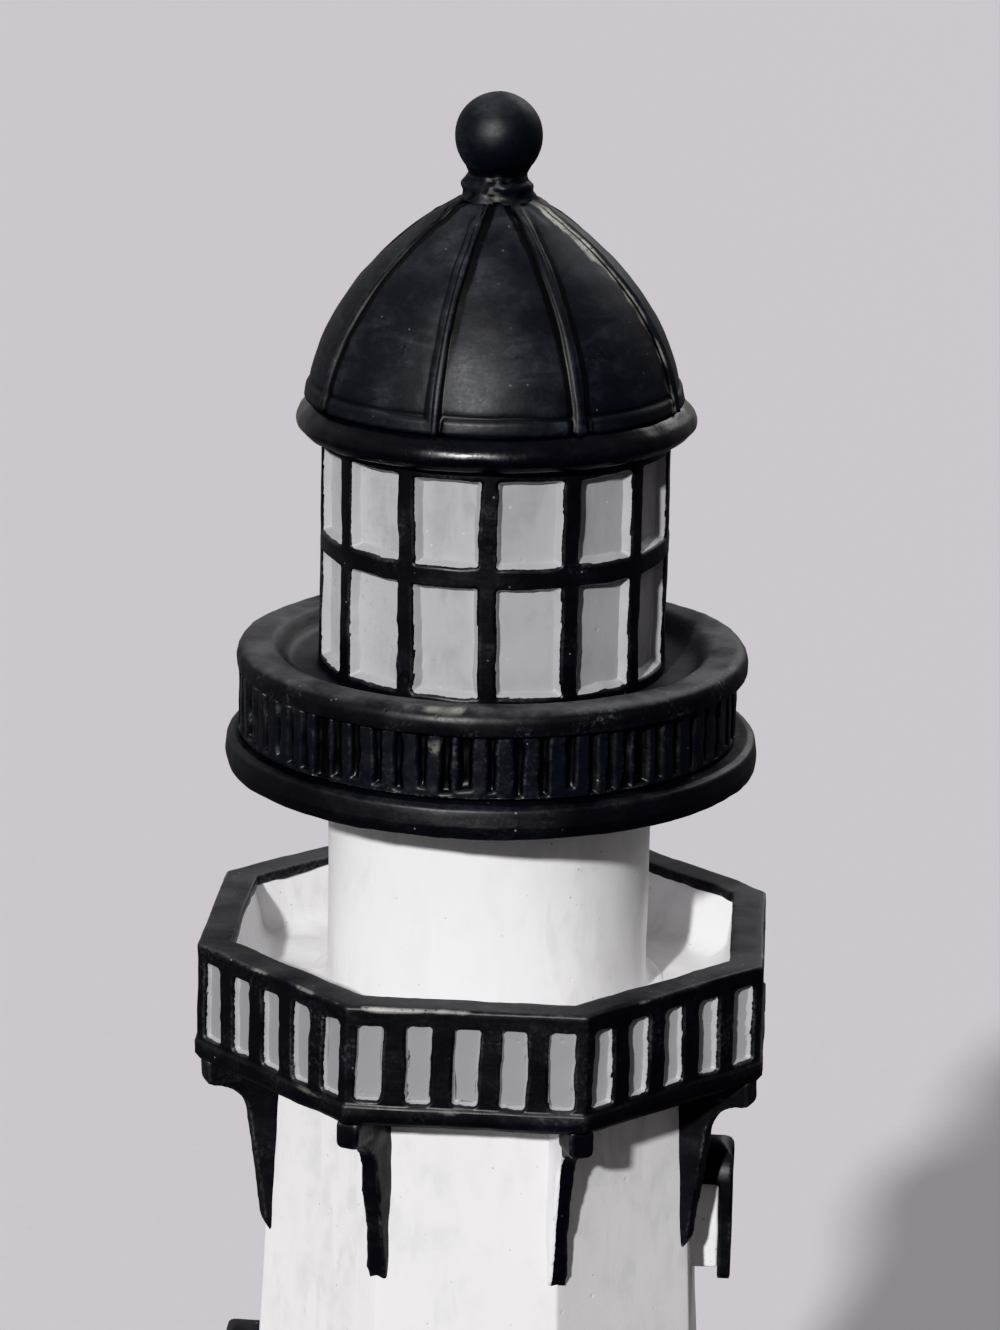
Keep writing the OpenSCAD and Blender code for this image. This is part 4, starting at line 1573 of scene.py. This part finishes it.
@dataclass
class Lantern:
    """Thirteen-sided lantern: grey panes between black bars whose walls slope in to them."""

    radius: float = 28.35  # radius of the bars' faces
    core_r: float = 27.15  # radius over the corners of the panes' drum
    z_low: float = 288.5  # height of its foot
    z_high: float = 328.4  # height of its head
    bars: int = 13  # upright bars
    bar_w: float = 2.5  # width of a bar
    turn: float = 1.8  # angle of the first bar
    sill_h: float = 2.3  # height of the sill
    head_h: float = 2.0  # height of the head
    mid_h: float = 3.0  # height of the middle rail
    mid_at: float = 0.55  # its place as a share of the lantern's height
    wall_w: float = 1.35  # width of the slope round a pane
    pane_r: float = 0.6  # radius of a pane's corners
    cut_in: float = 0.35  # how far the openings reach behind the panes
    # Spacing of the mesh near an edge, how far that reaches, and the widest elsewhere.
    mesh_mm: tuple[float, float, float] = (0.24, 1.7, 1.3)
    pane_columns: int = 12  # columns of the drum's mesh on each pane
    pane_rows: int = 34  # rows of that mesh

    def build(self) -> None:
        """Builds and dresses the panes and the frame."""
        settle("lantern_panes_drum", self.panes(), GREY, "lantern_core")
        settle("lantern_frame_casting", self.cage(), BLACK_FRAME, "lantern_frame")

    def pane_radius(self, angle: np.ndarray) -> np.ndarray:
        """Radius of the flat panes.

        Args:
            angle: (n,) angles round the lantern.

        Returns:
            (n,) radii.
        """
        pitch = 360 / self.bars
        lean = np.radians((angle - self.turn) % pitch - pitch / 2)
        chord = self.core_r * math.cos(math.radians(pitch / 2))
        return np.minimum(chord / np.cos(lean), self.core_r)

    def cage(self) -> Skin:
        """Frame with openings whose walls slope in to the panes.

        Returns:
            The frame.
        """
        pitch = 360 / self.bars
        reach = self.radius * math.sin(math.radians(pitch / 2))
        light = reach - self.bar_w / 2
        across = samples_near([-light, light], -reach, reach, *self.mesh_mm)[:-1]
        lean = np.degrees(np.arcsin(across / self.radius))
        angle = np.concatenate([self.turn + (k + 0.5) * pitch + lean for k in range(self.bars)])
        across = np.tile(across, self.bars)
        mid = self.z_low + (self.z_high - self.z_low) * self.mid_at
        spans = [
            (self.z_low + self.sill_h, mid - self.mid_h / 2),
            (mid + self.mid_h / 2, self.z_high - self.head_h),
        ]
        up = samples_near([z for span in spans for z in span], self.z_low, self.z_high, *self.mesh_mm)
        ring = facing(angle)
        grid = upright(ring * self.radius, up)
        wander = Grain(Seed.LANTERN_FRAME)
        waves = ((5.0, 0.26), (1.8, 0.16), (0.8, 0.1))
        shift_x, shift_z = (
            sum(amount * wander.at(grid + offset, pitch) for pitch, amount in waves) for offset in (0.0, 90.0)
        )
        side, height = across + shift_x, up[:, None] + shift_z
        sink = np.maximum(
            *(within(side, height - (z0 + z1) / 2, light, (z1 - z0) / 2, self.pane_r) for z0, z1 in spans)
        )
        deep = self.radius - self.pane_radius(angle) + self.cut_in
        slope = step_up(sink, -0.2, self.wall_w)
        through = slope >= 1 - NEARLY
        outer, inner = grid.copy(), grid.copy()
        outer[..., :2] -= (deep * slope)[..., None] * ring
        inner[..., :2] -= deep[:, None] * ring
        outer[through] = inner[through]
        skin = pierced(outer, inner, through, step_up(sink, 0.05, 0.4))
        return skin.swell(wander, (2.4, 0.07)).sway(wander, 9.0, 0.16)

    def panes(self) -> Skin:
        """Flat panes on a thirteen-sided drum.

        Returns:
            The drum.
        """
        angle = self.turn + np.arange(self.pane_columns * self.bars) * 360 / self.bars / self.pane_columns
        up = np.linspace(self.z_low - 0.1, self.z_high, self.pane_rows)
        ring = facing(angle) * self.pane_radius(angle)[:, None]
        skin = Skin.shell(upright(ring, up), upright(0.9 * ring, up))
        # Painted light: the panes are paler towards the left, where more light falls on them.
        skin.worn = 0.25 + 0.27 * step_up(-skin.points[:, 0], 10.0, 26.0)
        return skin.swell(Grain(Seed.PANES), (5.0, 0.12))


@dataclass
class BesideRibs:
    """Where the points of the dome's outer side lie beside their ribs."""

    rib: np.ndarray  # (cols,) number of the rib
    wide: np.ndarray  # (cols,) width of the creases beside it
    left: np.ndarray  # (rows, cols) true on its left
    past: np.ndarray  # (rows, cols) distance beyond its edge
    sharp: np.ndarray  # (rows, cols) how sharp its crease is on that side
    proud: np.ndarray  # (rows, cols) how much further it stands out on that side


@dataclass
class Roof:
    """Rolled eave, ribbed dome and ball finial."""

    eave_r: float = 32.55  # outer radius of the eave
    roll_in: float = 28.4  # radius where its roll starts
    roll_low: float = 0.5  # how far its roll hangs lower on the left
    bore: float = 24.2  # inner radius of the eave
    z_eave: float = 328.4  # height of the eave's underside
    z_dome: float = 333.9  # height of the dome's foot
    dome_h: float = 32.3  # height of the dome
    dome_r: float = 30.4  # its radius at the foot
    # Its outline: where it starts on the curve, the stretch that it takes, the curve's powers along
    # the height and the radius, and the curve's value at the start.
    curve: tuple[float, float, float, float, float] = (0.064, 0.876, 1.892, 0.7536, 0.9959)
    shift: float = 0.35  # how far the dome sits off the axis, to the left
    ribs: int = 8  # ribs round the dome
    dome_turn: float = 7.8  # angle of the first panel's middle
    rib_out: float = 0.5  # how far a rib stands out
    # How sharp each rib's left side is.
    left_crease: tuple[float, ...] = (1.0, 0.25, 0.6, 0.5, 0.7, 0.4, 0.05, 0.05)
    right_crease: tuple[float, ...] = (0.6, 0.2, 0.6, 0.7, 0.5, 0.6, 1.0, 1.0)  # how sharp its right side is
    crease_w: tuple[float, ...] = (0.6, 0.4, 0.6, 0.5, 0.65, 0.6, 0.85, 0.65)  # width of each rib's creases
    # How much further each rib's left side stands out.
    proud: tuple[float, ...] = (0.0, 0.45, 0.1, 0.0, 0.2, 0.1, 0.0, 0.0)
    pale_streak_rib: int = 1  # the rib whose left side carries the pale streak: rubbed bare near the top, with a painted highlight below
    band_h: float = 2.3  # height of the band round the dome's foot
    band_out: float = 0.36  # how far it stands out
    # Spacing of the mesh in degrees near a rib's edge, how far that reaches, and the widest elsewhere.
    mesh_deg: tuple[float, float, float] = (0.42, 4.2, 2.4)
    foot_mm: tuple[float, float, float] = (0.22, 1.0, 0.6)  # the same up the foot, in millimetres
    foot_h: float = 6.0  # height of the foot with closer rows
    rows: int = 46  # rows from the foot's last one up to the crown
    rib_foot_w: float = 2.7  # width of a rib at the foot
    rib_head_w: float = 1.9  # its width at the top
    z_finial: float = 366.2  # height of the finial's foot
    ball_up: float = 9.9  # height of the ball's middle over that
    ball_r: float = 7.0  # radius of the ball
    ball_cut: float = 5.2  # radius where the ball meets the neck
    neck_r: float = 4.6  # radius of the neck
    collar_r: float = 6.1  # radius of the collar where it spreads over the crown

    def build(self) -> None:
        """Builds and dresses the roof."""
        settle("eave_ring_casting", self.eave(), BLACK_THICK, "eave_ring")
        settle("roof_dome_casting", self.dome(), BLACK_DOME, "roof_dome")
        settle("finial_casting", self.finial(), BLACK_DOME, "finial")
        dress("finial_dowel", STEEL)

    def eave(self) -> Skin:
        """Rolled ring under the dome, fuller towards its underside.

        Returns:
            The ring.
        """
        corners = [
            (self.bore, self.z_eave, 0),
            (self.roll_in, self.z_eave, 0),
            (self.eave_r - 1.9, self.z_eave - 0.25, 1.5),
            (self.eave_r + 0.1, self.z_eave + 1.7, 1.7),
            (self.eave_r - 0.4, self.z_dome - 2.1, 1.9),
            (self.eave_r - 2.5, self.z_dome, 2.2),
            (self.roll_in, self.z_dome + 0.3, 0),
            (self.bore, self.z_dome + 0.1, 0),
        ]
        skin = lathe(rounded(corners, 0.6), around=240)
        leftward = np.clip(-skin.points[:, 0] / self.eave_r, 0, 1)
        roll = step_up(skin.radii(), self.roll_in, self.roll_in + 1.6)
        skin.points[:, 2] -= self.roll_low * leftward * roll
        grain = Grain(Seed.EAVE)
        return skin.swell(grain, (8.0, 0.2), (2.8, 0.1))

    def radius_at(self, share: np.ndarray) -> np.ndarray:
        """Radius of the dome at heights that are shares of its own height."""
        start, stretch, upward, outward, first = self.curve
        return self.dome_r * (1 - (start + stretch * share) ** upward) ** outward / first

    def dome(self) -> Skin:
        """Dome with raised ribs, each lying between two creases.

        Returns:
            The dome.
        """
        pitch = 360 / self.ribs
        edge = math.degrees(self.rib_foot_w / 2 / self.dome_r)
        lean = samples_near([-edge, edge], -pitch / 2, pitch / 2, *self.mesh_deg)[:-1]
        ring = facing(np.concatenate([self.dome_turn + (k + 0.5) * pitch + lean for k in range(self.ribs)]))
        foot = samples_near([self.band_h], 0.0, self.foot_h, *self.foot_mm)
        height = np.concatenate([foot, np.linspace(self.foot_h, self.dome_h, self.rows)[1:]])
        share = height[:, None] / self.dome_h
        radius = np.broadcast_to(self.radius_at(share), (len(height), len(ring)))
        grain = Grain(Seed.DOME)
        spot = upright(radius[..., None] * ring, height)
        near = self.beside_ribs(lean, radius, spot, grain)
        rise = self.relief(near, spot, grain)
        outer = upright((radius + rise)[..., None] * ring, self.z_dome + height)
        inner = upright((0.9 * radius - 1)[..., None] * ring, self.z_dome + 0.9 * height)
        skin = Skin.shell(outer, inner)
        skin.points[:, 0] -= self.shift
        skin.worn = outside(self.rubbed(near, share, spot, grain))
        spread = 0.35 + 0.5 * near.wide + 0.15 * grain.at(spot, 3.0)
        skin.cover = outside(near.sharp * np.exp(-(((near.past - 0.3) / spread) ** 2)))
        crown = step_up(skin.points[:, 2], self.z_dome + 0.84 * self.dome_h, self.z_dome + 0.98 * self.dome_h)
        skin.swell(grain, (2.4, 0.5), (1.3, 0.2), share=crown)
        return skin.swell(grain, (13.0, 0.22), (4.5, 0.12), (1.6, 0.04))

    def beside_ribs(
        self, lean: np.ndarray, radius: np.ndarray, spot: np.ndarray, grain: Grain
    ) -> BesideRibs:
        """Finds where each point lies beside its rib.

        Args:
            lean: angles of the columns round one rib, from its middle.
            radius: (rows, cols) distance of each point from the axis.
            spot: (rows, cols, 3) the points.
            grain: the field that the ribs' edges follow.

        Returns:
            The points' places.
        """
        rib = np.repeat(np.arange(self.ribs), len(lean))
        half = self.rib_head_w / 2 + (self.rib_foot_w - self.rib_head_w) / 2 * radius / self.dome_r
        off = np.radians(np.tile(lean, self.ribs)) * radius
        left = off < 0
        past = np.abs(off) - half + 0.16 * grain.at(spot, 4.0)
        sharp = np.where(left, np.array(self.left_crease)[rib], np.array(self.right_crease)[rib])
        proud = np.array(self.proud)[rib] * left
        return BesideRibs(rib, np.array(self.crease_w)[rib], left, past, sharp, proud)

    def relief(self, near: BesideRibs, spot: np.ndarray, grain: Grain) -> np.ndarray:
        """How far the ribs and the band at the foot stand out, and the creases beside them in.

        Args:
            near: where the points lie beside their ribs.
            spot: (rows, cols, 3) the points, with heights from the dome's foot.
            grain: the field that the band's edge follows.

        Returns:
            (rows, cols) rise in millimetres.
        """
        past, sharp, proud = near.past, near.sharp, near.proud
        fall = step_up(past, -0.95 + 0.55 * sharp - 1.2 * proud, 0.25 - 0.15 * sharp + 0.4 * proud)
        rise = (self.rib_out * (0.75 + 0.7 * sharp) + proud) * (1 - fall)
        rise = rise - 0.8 * sharp * np.exp(-(((past - 0.4 * (near.wide + proud)) / near.wide) ** 2))
        above = spot[..., 2] - self.band_h + 0.35 * grain.at(spot, 6.0)
        band = self.band_out * (1 - step_up(above, -0.6, 0.35)) * (1 - 0.8 * sharp * (np.abs(past) < 0.3))
        seam = 0.16 * np.exp(-(((above - 0.45) / 0.4) ** 2)) * step_up(past, -0.2, 0.4)
        return np.maximum(rise, band) - seam

    def rubbed(self, near: BesideRibs, share: np.ndarray, spot: np.ndarray, grain: Grain) -> np.ndarray:
        """Pale streak along the left side of one rib, widest near the top: rubbed paint, and below it a
        painted highlight on the lit flank.

        Args:
            near: where the points lie beside their ribs.
            share: (rows, 1) height of each row as a share of the dome's.
            spot: (rows, cols, 3) the points.
            grain: the field that the streak's edge follows.

        Returns:
            (rows, cols) wear and painted highlight.
        """
        most = step_up(share, 0.7, 0.78) * step_up(0.97 - share, 0.0, 0.04)
        reach = 1.4 + 1.1 * most + 0.7 * grain.at(spot, 2.5)
        flank = (near.rib == self.pale_streak_rib) * near.left * step_up(near.past, -0.9, -0.3)
        flank = flank * step_up(reach - near.past, 0.0, 0.6)
        return flank * (0.38 + 0.36 * most + 0.45 * grain.at(spot, 1.8))

    def finial(self) -> Skin:
        """Ball on a short neck whose lumpy collar spreads over the dome's crown.

        Returns:
            The finial.
        """
        foot = self.z_finial
        corners = [
            (0.6, foot, 0),
            (self.collar_r - 0.5, foot, 0),
            (self.collar_r + 0.3, foot - 0.5, 0.1),
            (self.neck_r + 0.75, foot + 1.0, 1.1),
            (self.neck_r + 1.1, foot + 2.3, 0.8),
            (self.neck_r + 0.3, foot + 3.2, 0.5),
            (self.neck_r, foot + 4.0, 0),
        ]
        collar = rounded(corners, 0.35, closed=False)
        ball = foot + self.ball_up
        meet = math.asin(self.ball_cut / self.ball_r)
        sweep = np.linspace(math.pi - meet, 0.03, 26)
        round_part = np.stack([self.ball_r * np.sin(sweep), ball + self.ball_r * np.cos(sweep)], -1)
        skin = lathe(np.concatenate([collar, round_part]), around=120)
        skin.points[:, 0] -= self.shift
        rise = skin.points[:, 2] - foot
        lumpy = step_up(4.4 - rise, 0.0, 1.2) * step_up(rise, -0.5, 0.7)
        grain = Grain(Seed.FINIAL)
        spot = ((skin.points[:, 0] + 0.9) / 1.7) ** 2 + ((rise - 0.9) / 1.3) ** 2
        skin.worn = (0.75 + 0.5 * grain.at(skin.points, 1.2)) * np.exp(-spot) * (skin.points[:, 1] < 0)
        skin.swell(grain, (2.6, 0.5), (1.2, 0.25), share=lumpy)
        return skin.swell(grain, (5.0, 0.1), (1.8, 0.04))


# The studio


@dataclass(frozen=True)
class Glow:
    """Soft light from one side of the room."""

    axis: str  # the axis along which it grows
    low: float  # the direction's share of that axis where it starts
    high: float  # the share where it is full
    most: float  # its strength there


@dataclass
class Studio:
    """Pale floor, soft lights and the camera at the photograph's angle."""

    eye: tuple[float, float, float] = (48.01, -728.5, 497.1)  # the camera's place in millimetres
    target: tuple[float, float, float] = (1.316, 0.084, 288.6)  # what it looks at
    roll: float = 1.05  # degrees that it leans
    lens: float = 166.5  # focal length in millimetres on a sensor 36 mm wide
    camera_turn: float = 3.667  # angle of the camera round the figurine, from the front to the right
    floor_size: float = 14.0  # side of the floor in metres
    floor_drop: float = 0.2  # how far the floor lies under the pad, in millimetres
    dim: float = 0.09  # strength of the light that comes from everywhere
    # Light added from each side.
    glows: tuple[Glow, ...] = (
        Glow("X", 0.6, -1.0, 0.24),
        Glow("X", 0.0, 1.0, 0.12),
        Glow("Y", 0.2, 1.0, 0.24),
        Glow("Z", 0.0, 1.0, 0.16),
        Glow("Z", 0.1, -0.7, 0.05),
    )
    from_floor: float = 0.45  # share of that light that comes up from under the horizon

    def build(self) -> None:
        """Builds the floor, the lights and the camera."""
        self.floor()
        self.world()
        self.lamp("key", turn=-18.5, rise=25.6, strength=3.65, spread=2.6)
        self.lamp("rim", turn=150.0, rise=32.0, strength=0.65, spread=30.0)
        self.camera()
        view = bpy.context.scene.view_settings
        view.view_transform = "Khronos PBR Neutral"
        view.look = "None"

    def floor(self) -> None:
        """Large pale matt floor of studio paper."""
        mesh = bpy.data.meshes.new("floor")
        half = self.floor_size / 2
        corners = [(-half, -half, 0), (half, -half, 0), (half, half, 0), (-half, half, 0)]
        mesh.from_pydata(corners, [], [(0, 1, 2, 3)])
        material = bpy.data.materials.new("pale_studio_paper")
        tree = empty_tree(material)
        place = put(tree, "ShaderNodeTexCoord").outputs["Object"]
        fibre = put(tree, "ShaderNodeTexNoise", {"Scale": per_metre(3.0), "Detail": 3.0}, {"Vector": place})
        settings = {"data_type": "RGBA", 6: linear("#d2cfd4"), 7: linear("#d6d3d8")}
        colour = put(tree, "ShaderNodeMix", settings, {0: fibre.outputs["Fac"]}).outputs[2]
        settings = {"Roughness": 0.9, "Specular IOR Level": 0.1}
        shader = put(tree, "ShaderNodeBsdfPrincipled", settings, {"Base Color": colour})
        put(tree, "ShaderNodeOutputMaterial", None, {"Surface": shader.outputs[0]})
        mesh.materials.append(material)
        floor = bpy.data.objects.new("floor", mesh)
        bpy.context.scene.collection.objects.link(floor)
        floor.location.z = -self.floor_drop * MM
        floor.visible_diffuse = False
        floor.visible_glossy = False

    def world(self) -> None:
        """Soft room light, a little stronger from some sides."""
        world = bpy.data.worlds.new("studio")
        bpy.context.scene.world = world
        tree = empty_tree(world)
        way = put(tree, "ShaderNodeTexCoord").outputs["Generated"]
        parts = put(tree, "ShaderNodeSeparateXYZ", None, {"Vector": way}).outputs
        level = put(tree, "ShaderNodeMapRange", {"To Min": self.dim, "To Max": self.dim}).outputs["Result"]
        for glow in self.glows:
            span = {"From Min": glow.low, "From Max": glow.high, "To Max": glow.most}
            share = put(tree, "ShaderNodeMapRange", span, {"Value": parts[glow.axis]}).outputs["Result"]
            level = put(tree, "ShaderNodeMath", {"operation": "ADD"}, {0: level, 1: share}).outputs[0]
        span = {"From Min": -0.4, "From Max": 0.02, "To Min": self.from_floor, "To Max": 1.0}
        horizon = put(tree, "ShaderNodeMapRange", span, {"Value": parts["Z"]}).outputs["Result"]
        level = put(tree, "ShaderNodeMath", {"operation": "MULTIPLY"}, {0: level, 1: horizon}).outputs[0]
        shine = put(tree, "ShaderNodeBackground", {"Color": linear("#fdfbfc")}, {"Strength": level})
        put(tree, "ShaderNodeOutputWorld", None, {"Surface": shine.outputs[0]})

    def lamp(self, name: str, turn: float, rise: float, strength: float, spread: float) -> None:
        """Adds a distant light.

        Args:
            name: the light's name.
            turn: degrees round from the camera, over 0 to its right.
            rise: degrees above the floor.
            strength: watts on a square metre that faces it.
            spread: its width in degrees, which softens its shadows.
        """
        light = bpy.data.lights.new(name, "SUN")
        light.energy = strength
        light.angle = math.radians(spread)
        lamp = bpy.data.objects.new(name, light)
        around, lift = math.radians(turn + self.camera_turn), math.radians(rise)
        aim = Vector((math.sin(around) * math.cos(lift), -math.cos(around) * math.cos(lift), math.sin(lift)))
        lamp.rotation_euler = aim.to_track_quat("Z", "Y").to_euler()
        bpy.context.scene.collection.objects.link(lamp)

    def camera(self) -> None:
        """Camera at the photograph's place."""
        data = bpy.data.cameras.new("camera")
        data.sensor_fit = "HORIZONTAL"
        data.sensor_width = 36.0
        data.lens = self.lens
        data.clip_start, data.clip_end = 0.01, 50.0
        eye, target = Vector(self.eye) * MM, Vector(self.target) * MM
        ahead = (target - eye).normalized()
        right = ahead.cross(Vector((0, 0, 1))).normalized()
        up = right.cross(ahead)
        cos, sin = math.cos(math.radians(self.roll)), math.sin(math.radians(self.roll))
        right, up = right * cos + up * sin, up * cos - right * sin
        turn = Matrix((right, up, -ahead)).transposed()
        camera = bpy.data.objects.new("camera", data)
        camera.matrix_world = Matrix.Translation(eye) @ turn.to_4x4()
        bpy.context.scene.collection.objects.link(camera)
        bpy.context.scene.camera = camera


def main() -> None:
    """Builds the studio and then the figurine from the ground up."""
    logging.basicConfig(level=logging.INFO, format="%(name)s %(message)s", stream=sys.stdout)
    Studio().build()
    for assembly in (Plinth, Tower, Openings, Brackets, ParapetWalk, WatchRoom, Gallery, Lantern, Roof):
        log.info("%s", assembly.__name__)
        assembly().build()


if __name__ == "__main__":
    main()
